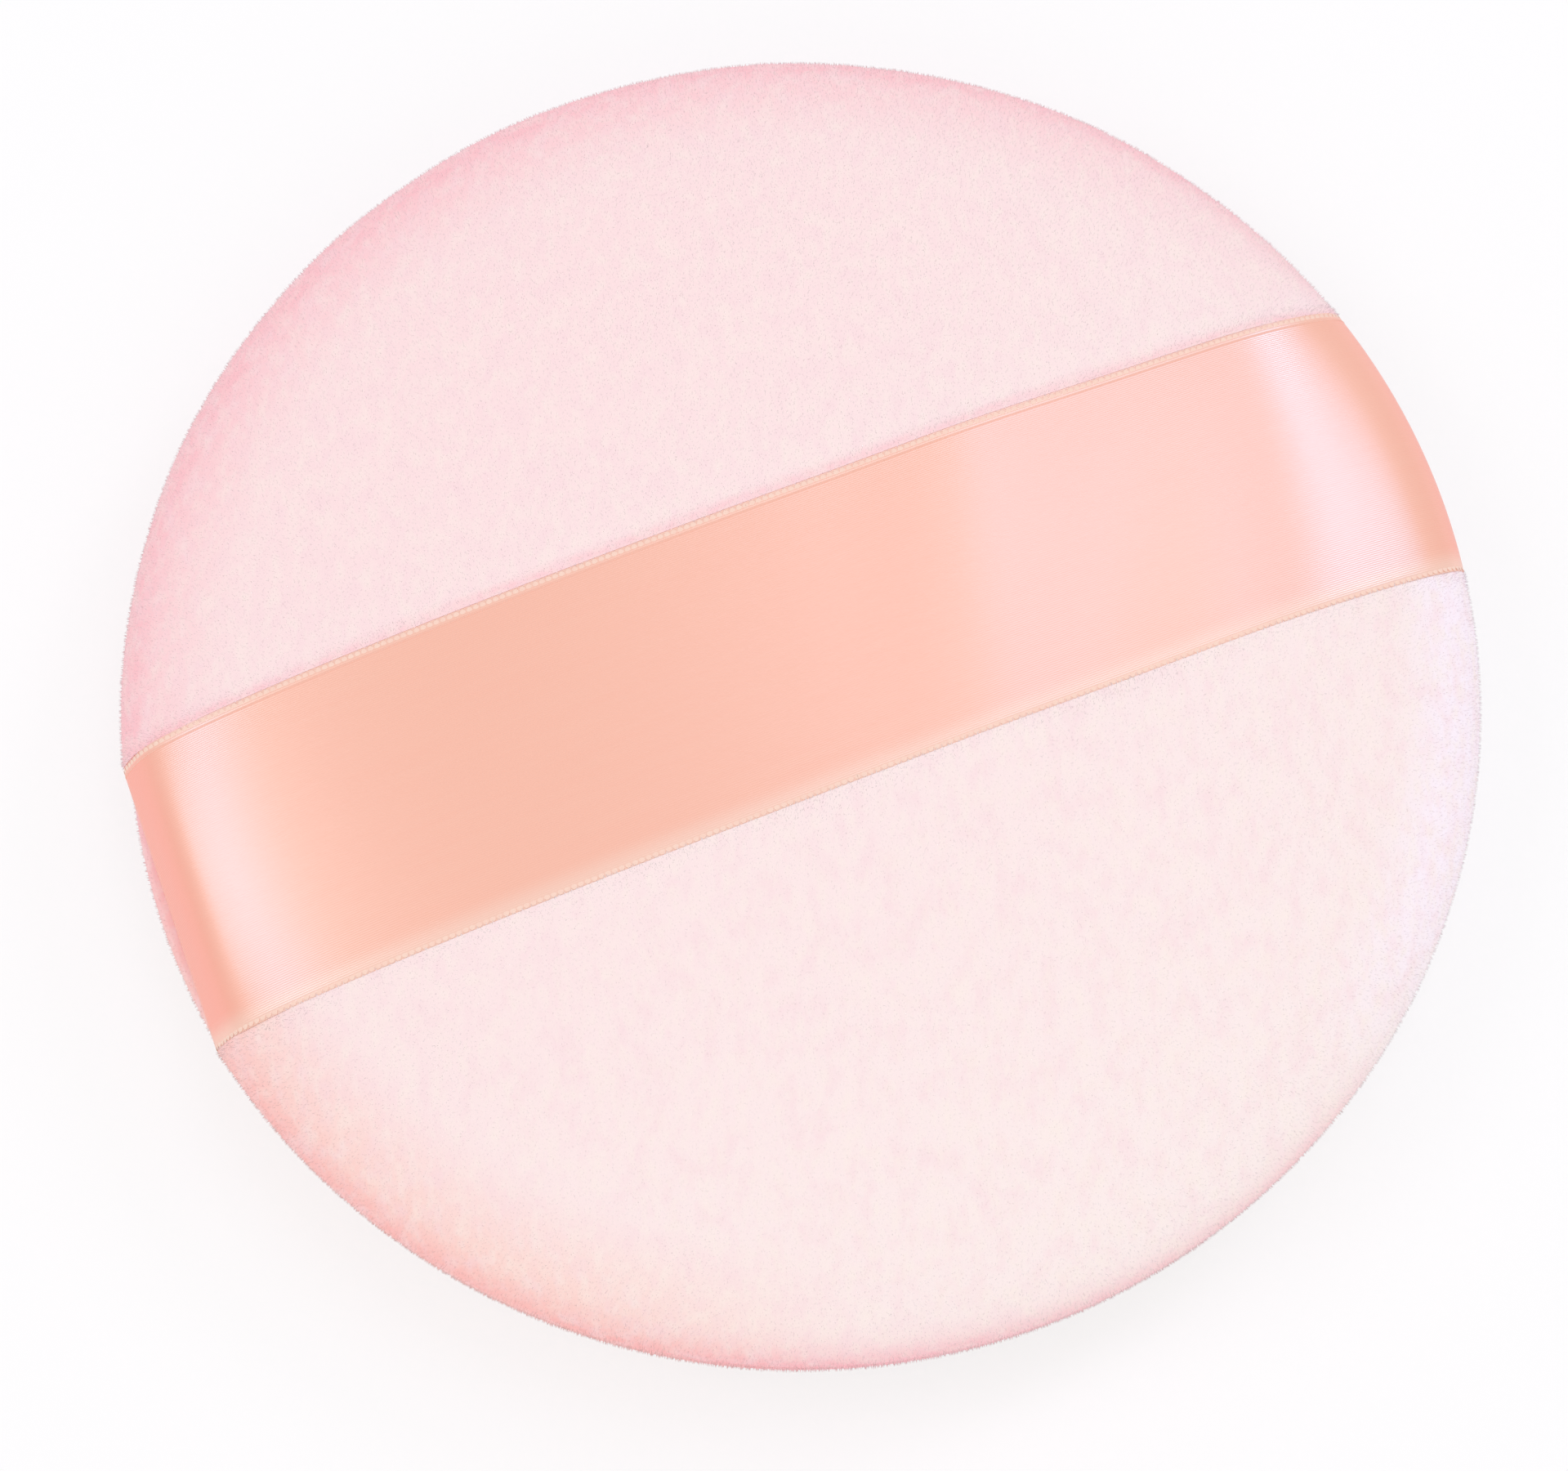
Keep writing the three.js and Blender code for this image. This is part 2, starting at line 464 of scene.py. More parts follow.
class Paint(NodeSheet):
    """Node tree of a new material, around its Principled shader."""

    def __init__(self, name: str) -> None:
        """Starts the material.

        Args:
            name: Its name.
        """
        self.material = bpy.data.materials.new(name)
        self.material.use_nodes = True
        super().__init__(self.material.node_tree)
        self.shader = self.found("BSDF_PRINCIPLED")

    def found(self, kind: str) -> bpy.types.Node:
        """First node of a kind that the material already has."""
        return next(node for node in self.tree.nodes if node.type == kind)

    def value(self, name: str) -> Socket:
        """Number stored under a name on the piece's points."""
        return self.add("ShaderNodeAttribute", attribute_name=name).outputs["Fac"]

    def place(self) -> Socket:
        """Coordinates in the piece's own axes."""
        return self.add("ShaderNodeTexCoord").outputs["Object"]

    def noise(self, scale: float, detail: float, vector: Socket | None = None) -> Socket:
        """Noise over the piece.

        Args:
            scale: Features for each unit of the coordinates.
            detail: Octaves of finer noise.
            vector: Coordinates to use instead of the piece's own.

        Returns:
            The noise value's socket.
        """
        place = self.place() if vector is None else vector
        feeds = {"Vector": place, "Scale": scale, "Detail": detail, "Roughness": NOISE_ROUGHNESS}
        return self.add("ShaderNodeTexNoise", feeds).outputs["Fac"]

    def layered(self, base: Colour, layers: Iterable[tuple[Socket, Colour]]) -> Socket:
        """Lays colours over each other.

        Args:
            base: Lowest colour, linear.
            layers: Strength and linear colour of each layer, from below.

        Returns:
            The top colour's socket.
        """
        body: object = base
        for factor, colour in layers:
            mix = self.add("ShaderNodeMix", {"Factor": factor}, data_type="RGBA")
            self.feed(mix, {6: body, 7: colour})
            body = mix.outputs[2]
        return body

    def bump(self, height: Socket, depth: float, strength: float = 1.0) -> Socket:
        """Normals that follow a height.

        Args:
            height: Socket of the height.
            depth: Distance that a height of 1 stands for.
            strength: Share of the effect.

        Returns:
            The normal's socket.
        """
        feeds = {"Height": height, "Distance": depth, "Strength": strength}
        return self.add("ShaderNodeBump", feeds).outputs["Normal"]


class Finish:
    """Base of the finishes: each one is a Principled material under its own name."""

    name: str

    def look(self, paint: Paint) -> Feeds:
        """What the shader's inputs get; each finish has its own."""
        raise NotImplementedError

    def material(self) -> bpy.types.Material:
        """Builds the material, once.

        Returns:
            The material that the pieces share.
        """
        known = bpy.data.materials.get(self.name)
        if known is not None:
            return known
        paint = Paint(self.name)
        paint.feed(paint.shader, self.look(paint))
        return paint.material

    def put_on(self, obj: bpy.types.Object) -> None:
        """Makes this the only material of a piece."""
        obj.data.materials.clear()
        obj.data.materials.append(self.material())


@dataclass(frozen=True)
class VelourFinish(Finish):
    """Short-pile velour: deeper pink towards the rim, partly the pile seen from its side and partly painted
    shade, with painted light at parts of the rim.
    """

    name: str = "velour_pink"
    crown: Colour = (0.975, 0.865, 0.835)
    # deeper pink at the rim: partly the pile's colour seen from its side, partly painted shade
    rim: Colour = (1.0, 0.415, 0.483)
    shade: Colour = (0.955, 0.72, 0.745)
    cream: Colour = (0.975, 0.875, 0.79)
    # painted highlight: pale lavender on the rim on the lamps' side
    gleam: Colour = (0.99, 0.90, 0.965)
    # painted reflected light: warm peach on the lower left rim
    blush: Colour = (0.985, 0.60, 0.47)
    roughness: float = 0.92
    specular: float = 0.1
    sheen: float = 0.12
    sheen_roughness: float = 0.6
    sheen_tint: Colour = (1.0, 0.93, 0.94)
    patch_span: Span = (0.44, 0.70)
    mottle_scale: float = 950.0
    mottle_share: float = 0.46
    cream_scale: float = 1300.0
    cream_share: float = 0.5
    cream_fade: float = 0.7
    tone_share: float = 0.2
    fine_detail: float = 3.0
    clump_scale: float = 1500.0
    clump_depth: float = 0.12 * MM
    clump_strength: float = 0.5
    streak_turn: float = math.radians(-21.0)
    streak_length: float = 1.8

    def look(self, paint: Paint) -> Feeds:
        """Colours the pile by its place and mottles it.

        Args:
            paint: Node sheet of the material.

        Returns:
            What the shader's inputs get.
        """
        nap = paint.value("nap")
        cream_kept = paint.math("SUBTRACT", 1.0, paint.math("MULTIPLY", nap, self.cream_fade))
        creamy = paint.math("MULTIPLY", self.patches(paint, self.cream_scale, self.cream_share), cream_kept)
        toned = paint.math("MULTIPLY", paint.value("tone"), self.tone_share)
        mottled = paint.math("ADD", self.patches(paint, self.mottle_scale, self.mottle_share), toned)
        # layers: rim depth (partly painted shade), painted warm reflected light, painted highlight, random
        # mottle, cream patches
        layers = (
            (nap, self.rim),
            (paint.value("blush"), self.blush),
            (paint.value("gleam"), self.gleam),
            (mottled, self.shade),
            (creamy, self.cream),
        )
        clumps = paint.noise(self.clump_scale, self.fine_detail)
        return {
            "Base Color": paint.layered(self.crown, layers),
            "Roughness": self.roughness,
            "Specular IOR Level": self.specular,
            "Sheen Weight": self.sheen,
            "Sheen Roughness": self.sheen_roughness,
            "Sheen Tint": self.sheen_tint,
            "Normal": paint.bump(clumps, self.clump_depth, self.clump_strength),
        }

    def patches(self, paint: Paint, scale: float, share: float) -> Socket:
        """Soft patches of noise, drawn out along the way that the pile lies.

        Args:
            paint: Where the nodes go.
            scale: Patches for each metre.
            share: Value in the middle of a patch.

        Returns:
            The value's socket, 0 between the patches.
        """
        streaks = paint.add(
            "ShaderNodeMapping",
            {
                "Vector": paint.place(),
                "Rotation": (0.0, 0.0, self.streak_turn),
                "Scale": (1.0, self.streak_length, 1.0),
            },
            vector_type="TEXTURE",
        )
        low, high = self.patch_span
        speckle = paint.noise(scale, self.fine_detail, streaks.outputs["Vector"])
        feeds = {"Value": speckle, "From Min": low, "From Max": high, "To Max": share}
        return paint.add("ShaderNodeMapRange", feeds).outputs[0]


@dataclass(frozen=True)
class SatinFinish(Finish):
    """Peach satin ribbon face with its warp along the ribbon."""

    name: str = "satin_peach"
    face: Colour = (0.95, 0.425, 0.28)
    slub: Colour = (0.95, 0.455, 0.305)
    # painted highlight where the ribbon tips over the crown's shoulders
    pale: Colour = (0.945, 0.60, 0.64)
    # painted shade where the ends turn down away from the light
    deep: Colour = (1.0, 0.31, 0.205)
    cream: Colour = (0.95, 0.62, 0.48)
    roughness: float = 0.28
    ior: float = 2.0
    specular: float = 0.9
    anisotropy: float = 0.4
    slub_scale: Place = (90.0, 1800.0, 1.0)
    slub_detail: float = 2.0
    warp_pitch: float = 0.14 * MM
    weave_depth: float = 0.010 * MM
    weave_strength: float = 0.3

    def look(self, paint: Paint) -> Feeds:
        """Gives the face its warp lines and its long soft gloss.

        Args:
            paint: Node sheet of the material.

        Returns:
            What the shader's inputs get.
        """
        weave = paint.add("ShaderNodeUVMap", uv_map=WEAVE_MAP).outputs["UV"]
        stretch = paint.add("ShaderNodeMapping", {"Vector": weave, "Scale": self.slub_scale})
        # layers: random slubs, painted highlight, painted shade on the turned-down ends, cream hem
        layers = (
            (paint.noise(1.0, self.slub_detail, stretch.outputs["Vector"]), self.slub),
            (paint.value("lustre"), self.pale),
            (paint.value("fold"), self.deep),
            (paint.value("hem"), self.cream),
        )
        across = paint.add("ShaderNodeSeparateXYZ", {0: weave}).outputs["Y"]
        warp = paint.math("SINE", paint.math("MULTIPLY", across, FULL_TURN / self.warp_pitch))
        tangent = paint.add("ShaderNodeTangent", direction_type="UV_MAP", uv_map=WEAVE_MAP)
        return {
            "Base Color": paint.layered(self.face, layers),
            "Roughness": self.roughness,
            "IOR": self.ior,
            "Specular IOR Level": self.specular,
            "Anisotropic": self.anisotropy,
            "Tangent": tangent.outputs[0],
            "Normal": paint.bump(warp, self.weave_depth, self.weave_strength),
        }


@dataclass(frozen=True)
class SelvedgeFinish(Finish):
    """Woven edge yarns of the ribbon."""

    name: str = "selvedge_loop"
    yarn: Colour = (0.96, 0.73, 0.60)
    deep: Colour = (0.95, 0.62, 0.50)
    roughness: float = 0.5
    sheen: float = 0.1
    tint_scale: float = 1500.0
    tint_detail: float = 2.0
    fibre_scale: float = 9000.0
    fibre_detail: float = 1.0
    fibre_depth: float = 0.02 * MM

    def look(self, paint: Paint) -> Feeds:
        """Tints the yarn unevenly.

        Args:
            paint: Node sheet of the material.

        Returns:
            What the shader's inputs get.
        """
        tint = paint.noise(self.tint_scale, self.tint_detail)
        fibres = paint.noise(self.fibre_scale, self.fibre_detail)
        return {
            "Base Color": paint.layered(self.deep, [(tint, self.yarn)]),
            "Roughness": self.roughness,
            "Sheen Weight": self.sheen,
            "Normal": paint.bump(fibres, self.fibre_depth),
        }


@dataclass(frozen=True)
class FoamFinish(Finish):
    """Open-cell foam of the core."""

    name: str = "foam_cream"
    cell_wall: Colour = (0.94, 0.90, 0.82)
    # painted shade in the cells' hollows
    cell_hollow: Colour = (0.72, 0.65, 0.55)
    roughness: float = 0.95
    cells_per_metre: float = 1400.0
    cell_depth: float = 0.2 * MM

    def look(self, paint: Paint) -> Feeds:
        """Paints shade into the cells' hollows and marks their depth.

        Args:
            paint: Node sheet of the material.

        Returns:
            What the shader's inputs get.
        """
        feeds = {"Vector": paint.place(), "Scale": self.cells_per_metre}
        cells = paint.add("ShaderNodeTexVoronoi", feeds, feature="SMOOTH_F1").outputs["Distance"]
        return {
            "Base Color": paint.layered(self.cell_hollow, [(cells, self.cell_wall)]),
            "Roughness": self.roughness,
            "Normal": paint.bump(cells, self.cell_depth),
        }


@dataclass(frozen=True)
class ThreadFinish(Finish):
    """Spun sewing thread in the colour of the velour."""

    name: str = "thread_pink"
    light: Colour = (0.94, 0.72, 0.73)
    dark: Colour = (0.86, 0.56, 0.58)
    roughness: float = 0.6
    ply_scale: float = 900.0
    ply_waver: float = 1.5
    ply_depth: float = 0.03 * MM

    def look(self, paint: Paint) -> Feeds:
        """Twists two tones along the thread.

        Args:
            paint: Node sheet of the material.

        Returns:
            What the shader's inputs get.
        """
        feeds = {"Vector": paint.place(), "Scale": self.ply_scale, "Distortion": self.ply_waver}
        plies = paint.add("ShaderNodeTexWave", feeds, bands_direction="DIAGONAL").outputs["Fac"]
        return {
            "Base Color": paint.layered(self.dark, [(plies, self.light)]),
            "Roughness": self.roughness,
            "Normal": paint.bump(plies, self.ply_depth),
        }


class Growth(NodeSheet):
    """Geometry node tree that grows a piece from a source mesh."""

    def __init__(self, name: str, **kinds: str) -> None:
        """Starts the tree with its geometry sockets and its named inputs.

        Args:
            name: Name of the tree.
            kinds: Kind of socket for each named input.
        """
        super().__init__(bpy.data.node_groups.new(name, "GeometryNodeTree"))
        sockets = self.tree.interface
        for label, kind in {"Geometry": "Geometry", **kinds}.items():
            sockets.new_socket(label, in_out="INPUT", socket_type=f"NodeSocket{kind}")
        sockets.new_socket("Geometry", in_out="OUTPUT", socket_type="NodeSocketGeometry")
        self.inputs = self.add("NodeGroupInput").outputs

    def value(self, name: str) -> Socket:
        """Number stored under a name on the geometry's points."""
        return self.add("GeometryNodeInputNamedAttribute", {"Name": name}, data_type="FLOAT").outputs[0]

    def random(self, low: object, high: object, seed: int) -> Socket:
        """Random value for each point.

        Args:
            low: Lowest number, or a vector of lowest numbers.
            high: Highest number, or a vector of highest numbers.
            seed: Seed of this draw.

        Returns:
            The value's socket.
        """
        kind, first, output = ("FLOAT_VECTOR", 0, 0) if isinstance(low, tuple) else ("FLOAT", 2, 1)
        feeds = {first: low, first + 1: high, "Seed": seed}
        return self.add("FunctionNodeRandomValue", feeds, data_type=kind).outputs[output]

    def curve(self, lines: Socket) -> Socket:
        """Curves along the edges of a mesh."""
        return self.add("GeometryNodeMeshToCurve", {"Mesh": lines}).outputs[0]

    def bar(self, curve: Socket, radius: Socket) -> Socket:
        """Sweeps a round bar along curves.

        Args:
            curve: Socket with the curves.
            radius: Socket with the bar's radius.

        Returns:
            Socket with the closed bars.
        """
        feeds = {"Resolution": BAR_SIDES, "Radius": radius}
        ring = self.add("GeometryNodeCurvePrimitiveCircle", feeds, mode="RADIUS").outputs[0]
        feeds = {"Curve": curve, "Profile Curve": ring, "Fill Caps": True}
        return self.add("GeometryNodeCurveToMesh", feeds).outputs[0]

    def smooth(self, geometry: Socket) -> Socket:
        """Shades geometry smooth."""
        return self.add("GeometryNodeSetShadeSmooth", {"Geometry": geometry}).outputs[0]

    def joined(self, parts: Iterable[Socket]) -> Socket:
        """Joins geometry.

        Args:
            parts: Sockets with the geometry.

        Returns:
            Socket with all of it.
        """
        node = self.add("GeometryNodeJoinGeometry")
        for part in parts:
            self.feed(node, {0: part})
        return node.outputs[0]

    def dressed(self, geometry: Socket, finish: Finish) -> Socket:
        """Makes instances real and gives all the geometry one finish.

        Args:
            geometry: Socket with the geometry.
            finish: Its finish.

        Returns:
            Socket with the dressed geometry.
        """
        whole = self.add("GeometryNodeRealizeInstances", {"Geometry": geometry}).outputs[0]
        feeds = {"Geometry": whole, "Material": finish.material()}
        return self.add("GeometryNodeSetMaterial", feeds).outputs[0]

    def end(self, geometry: Socket) -> Growth:
        """Makes the geometry the tree's result and hands the tree on."""
        self.add("NodeGroupOutput", {"Geometry": geometry})
        return self

    def grow(self, source: bpy.types.Object, name: str, values: dict[str, object]) -> bpy.types.Object:
        """Grows the piece as a plain mesh.

        Args:
            source: Object that the tree starts from; it is used up.
            name: Name of the new piece.
            values: Value of each named input.

        Returns:
            The plain piece at the origin.
        """
        modifier = source.modifiers.new(name, "NODES")
        modifier.node_group = self.tree
        for item in self.tree.interface.items_tree:
            if item.in_out == "INPUT" and item.name in values:
                modifier[item.identifier] = values[item.name]
        return baked_copy(source, name)


@dataclass(frozen=True)
class RibbonPath:
    """Line that the back of the ribbon follows from the middle of the crown into the seam at one end."""

    sizes: PadSizes
    end: End
    settle: float = 0.55 * MM
    rim_inset: float = 0.32 * MM
    crease_x: float = 42.05 * MM
    chord_x: float = 43.7 * MM
    crease_round: float = 2.4 * MM
    fold_round: float = 1.4 * MM
    tail: float = 2.6 * MM
    wave_rise: Span = (0.0 * MM, 16.0 * MM)
    wave_fade: Span = (36.0 * MM, 43.0 * MM)
    wave_pitch: float = 24.0 * MM
    wave_slope: float = 0.045
    wave_skew: float = 0.45
    crown_points: int = 600
    fold_points: int = 16
    fine_steps: int = 900

    def line(self, side: float, steps: int = 400) -> np.ndarray:
        """Path of the ribbon's back at one distance from its middle line.

        Args:
            side: Distance across the ribbon, from its middle line.
            steps: How many even steps the path is cut into.

        Returns:
            Rows of distance out from the middle and height.
        """
        sizes = self.sizes
        base = sizes.seam_z + sizes.fold_base
        rim = sizes.rim_radius - self.rim_inset
        rise = sizes.ribbon_top_z - sizes.ribbon_thickness - self.settle - base
        reach = math.sqrt(rim**2 - side**2)
        last, foot = (reach, reach) if self.end is End.RIGHT else (self.crease_x, self.chord_x)
        out = reach * np.sin(np.linspace(0.0, QUARTER_TURN, self.crown_points)) ** (2 / sizes.crown_power)
        out = np.append(out[out < last], last)
        height = base + sizes.crown_height(np.hypot(out, side), rim, rise)
        if self.end is End.RIGHT:
            height += self.wave(out, side)
        radius = sizes.seam_fold
        turn = np.linspace(0.0, QUARTER_TURN, self.fold_points)
        fold = np.stack([foot - radius + radius * np.cos(turn), base - radius * np.sin(turn)], axis=1)
        tail = np.array([[foot - radius - self.tail, fold[-1, 1]]])
        crown = np.stack([out, height], axis=1)
        if self.end is End.LEFT:
            creased = even_steps(np.append(crown, fold[:1], axis=0), self.fine_steps)
            crown = self.rounded(creased, self.crease_round)
        path = even_steps(np.concatenate([crown, fold, tail]), self.fine_steps)
        return even_steps(self.rounded(path, self.fold_round), steps)

    def wave(self, out: np.ndarray, side: float) -> np.ndarray:
        """Slack of the ribbon on the way to its right end.

        Args:
            out: Distances from the middle of the crown.
            side: Distance across the ribbon; the slack runs across it at a slant.

        Returns:
            Heights to add along the ribbon.
        """
        swing = -self.wave_slope * self.wave_pitch / FULL_TURN
        loose = smoothstep(out, *self.wave_rise) * (1.0 - smoothstep(out, *self.wave_fade))
        phase = (out - self.wave_rise[1] - self.wave_skew * side) / self.wave_pitch
        return swing * loose * np.sin(FULL_TURN * phase)

    @staticmethod
    def rounded(path: np.ndarray, window: float) -> np.ndarray:
        """Rounds the corners of a path by averaging along its length.

        Args:
            path: Rows of distance and height at even steps.
            window: Length that each point is averaged over.

        Returns:
            As many rows as the path has.
        """
        half = max(1, int(window / (line_length(path) / (len(path) - 1)) / 2))
        before, after = 2 * path[:1] - path[half:0:-1], 2 * path[-1:] - path[-2:-half - 2:-1]
        padded = np.concatenate([before, path, after])
        kernel = np.ones(2 * half + 1) / (2 * half + 1)
        return np.stack([np.convolve(column, kernel, mode="valid") for column in padded.T], axis=1)


@dataclass(frozen=True)
class RimTint:
    """A part of the rim that takes a tint of painted light, used for the painted highlight and the painted
    warm reflected light.
    """

    way: Span
    spread: Span
    reach: Span
    share: float = 1.0

    def strength(self, flat: np.ndarray) -> np.ndarray:
        """Strength of the tint, 0 away from its part of the rim, at places in shares of the radius."""
        at_rim = smoothstep(np.hypot(*flat.T), *self.reach)
        return self.share * at_rim * smoothstep(facing(flat, self.way), *self.spread)


@dataclass(frozen=True)
class NapLook:
    """How the deeper pink of one velour face is spread: partly the pile seen from its side, partly painted
    shade and a painted shadow.
    """

    sizes: PadSizes
    face: Face
    brush: Span = (0.40, -0.92)
    broad_share: float = 0.40
    rim_share: float = 0.7
    rim_reach: Span = (0.94, 1.005)
    shoulder_share: float = 0.6
    shoulder_reach: Span = (0.80, 1.0)
    lit_rim: Span = (0.72, -0.69)
    lit_fade: Span = (0.0, 0.5)
    tuck_share: float = 0.5
    tuck_reach: float = 0.35 * MM
    tuck_place: float = 0.6
    nap_share: float = 0.667
    low_share: float = 0.56
    low_height: Span = (1.2 * MM, 3.7 * MM)
    low_rim: Span = (-0.37, -0.93)
    low_spread: Span = (0.5, 0.72)
    # painted highlight on the rim towards the lamps
    gleam: RimTint = RimTint(way=(0.93, -0.37), spread=(0.75, 0.97), reach=(0.85, 0.95))
    # painted warm reflected light on the lower left rim
    blush: RimTint = RimTint(way=(-0.86, -0.51), spread=(0.7, 0.99), reach=(0.82, 1.0), share=0.5)

    def nap(self, places: np.ndarray) -> np.ndarray:
        """How deep the pink is at each point: the pile seen from its side, with painted shade and a painted
        shadow.

        Args:
            places: Points of the face.

        Returns:
            0 where the face is palest, on the side towards the light; up to 1 at the rim away from the light,
            low on the rim by the seam and beside the ribbon's upper edge.
        """
        flat = places[:, :2] / self.sizes.rim_radius
        share = np.hypot(*flat.T)
        # painted shade: deeper on the side of the face away from the light
        broad = 0.5 - 0.5 * flat @ np.array(self.brush)
        # deeper at the rim, partly the pile's side and partly painted shade; weaker on the lit side
        turned = self.rim_share * smoothstep(share, *self.rim_reach)
        turned += self.shoulder_share * broad * smoothstep(share, *self.shoulder_reach)
        turned *= smoothstep(0.5 - 0.5 * facing(flat, self.lit_rim), *self.lit_fade)
        turned += self.broad_share * broad
        # painted shadow of the ribbon's upper edge on the velour beside it
        if self.face is Face.UPPER:
            gap = (places[:, 1] - self.sizes.ribbon_half_width) / self.tuck_reach
            turned += self.tuck_share * np.exp(-((gap - self.tuck_place) ** 2))
        # deeper pink low on the rim near the seam on its -Y side: partly the pile seen from its side, partly
        # painted shade
        low = 1.0 - smoothstep(np.abs(places[:, 2] - self.sizes.seam_z), *self.low_height)
        low *= smoothstep(facing(flat, self.low_rim), *self.low_spread)
        return np.clip(self.nap_share * np.clip(turned, 0.0, 1.0) + self.low_share * low, 0.0, 1.0)

    def store(self, mesh: bpy.types.Mesh) -> None:
        """Stores the spread on the points of the face.

        Args:
            mesh: Mesh of the face.
        """
        places = points_of(mesh)
        flat = places[:, :2] / self.sizes.rim_radius
        tints = {"gleam": self.gleam.strength(flat), "blush": self.blush.strength(flat)}
        set_point_values(mesh, nap=self.nap(places), **tints)


@dataclass(frozen=True)
class RibbonSeat:
    """Place that the ribbon takes in the upper velour."""

    sizes: PadSizes
    edge_cuts: Span = (0.002 * MM, 0.008 * MM)
    cut_merge: float = 1e-7
    beside_swell: float = 0.30 * MM
    beside_reach: float = 4.5 * MM
    beside_fade: Span = (0.72, 0.97)
    clearance: float = 0.08 * MM
    press_reach: float = 0.9 * MM
    press_step: float = 0.42 * MM
    press_columns: int = 21
    pivot_share: float = 0.55
    meet_reach: float = 0.8 * MM
    meet_reaches: float = 3.0
    meet_height: float = 0.26 * MM
    meet_fade: Span = (0.84, 0.95)

    def seated(self, mesh: bpy.types.Mesh) -> np.ndarray:
        """Works the ribbon's seat into the upper cover.

        Args:
            mesh: Mesh of the open surface; it gets points along the ribbon's edges.

        Returns:
            New places for all of its points.
        """
        self.cut(mesh)
        places = points_of(mesh)
        places[:, 2] += self.swell(places)
        places = self.press(places)
        places[:, 2] += self.meet(places)
        return places

    def cut(self, mesh: bpy.types.Mesh) -> None:
        """Adds points to the cover along both edges of the ribbon.

        Args:
            mesh: Mesh of the open surface.
        """
        cloth = bmesh.new()
        cloth.from_mesh(mesh)
        for side in (1, -1):
            for gap in self.edge_cuts:
                bmesh.ops.bisect_plane(
                    cloth,
                    geom=[*cloth.verts, *cloth.edges, *cloth.faces],
                    dist=self.cut_merge,
                    plane_co=(0.0, side * (self.sizes.ribbon_half_width + gap), 0.0),
                    plane_no=(0.0, 1.0, 0.0),
                )
        bmesh.ops.triangulate(cloth, faces=[face for face in cloth.faces if len(face.verts) > 3])
        cloth.to_mesh(mesh)
        cloth.free()

    def swell(self, places: np.ndarray) -> np.ndarray:
        """Rise of the velour that the tight ribbon pushes up on both sides of itself.

        Args:
            places: Points of the upper cover.

        Returns:
            Heights to add.
        """
        share = np.hypot(places[:, 0], places[:, 1]) / self.sizes.rim_radius
        away = np.maximum(self.sizes.past_ribbon(places), 0.0) / self.beside_reach
        return self.beside_swell * np.exp(-(away**2)) * (1.0 - smoothstep(share, *self.beside_fade))

    def press(self, places: np.ndarray) -> np.ndarray:
        """Pushes the cover in where the ribbon lies on it and bends over the rim.

        Args:
            places: Points of the upper cover.

        Returns:
            The points, no higher or further out than the ribbon lets them be.
        """
        half = self.sizes.ribbon_half_width
        across = np.abs(places[:, 1])
        columns = np.linspace(-half, half, self.press_columns)
        nearest = np.abs(np.clip(places[:, 1], -half, half)[:, None] - columns[None, :]).argmin(axis=1)
        near = across < half + self.press_reach
        share = 1.0 - smoothstep(across, half, half + self.press_reach)
        beside = across > half + sum(self.edge_cuts) / 2
        pressed = places.copy()
        for end in End:
            path = RibbonPath(self.sizes, end)
            for index, column in enumerate(columns):
                chosen = near & (nearest == index) & (places[:, 0] * end.value > 0)
                if not chosen.any():
                    continue
                out, up = places[chosen, 0] * end.value, places[chosen, 2]
                goal_out, goal_up = self.cleared(out, up, path.line(column))
                depth = np.hypot(goal_out - out, goal_up - up)
                left_over = np.maximum(1.0 - self.press_step / np.maximum(depth, TINY), 0.0)
                part = np.where(beside[chosen], share[chosen] * left_over, 1.0)
                pressed[chosen, 0] = end.value * (out + (goal_out - out) * part)
                pressed[chosen, 2] = up + (goal_up - up) * part
        return pressed

    def cleared(self, out: np.ndarray, up: np.ndarray, line: np.ndarray) -> tuple[np.ndarray, np.ndarray]:
        """Where points have to go to lie clear of the ribbon's back.

        Args:
            out: Distances of the points from the middle of the crown, along the ribbon.
            up: Heights of the points.
            line: Path of the ribbon's back over them.

        Returns:
            New distances and heights: lowered on the crown, drawn in around the rim.
        """
        pivot = np.array([self.pivot_share * self.sizes.rim_radius, self.sizes.seam_z])
        ceiling = np.interp(out, *line[line[:, 0].argsort()].T) - self.clearance
        arm = np.stack([out, up], axis=1) - pivot
        spread = line - pivot
        spread = spread[spread[:, 0] > 0]
        turn = np.arctan2(spread[:, 1], spread[:, 0])
        order = turn.argsort()
        limit = np.interp(np.arctan2(arm[:, 1], arm[:, 0]), turn[order], np.hypot(*spread.T)[order])
        shrink = np.minimum(1.0, (limit - self.clearance) / np.maximum(np.hypot(*arm.T), TINY))
        on_top = out < pivot[0]
        goal_out = np.where(on_top, out, pivot[0] + arm[:, 0] * shrink)
        return goal_out, np.where(on_top, np.minimum(up, ceiling), pivot[1] + arm[:, 1] * shrink)

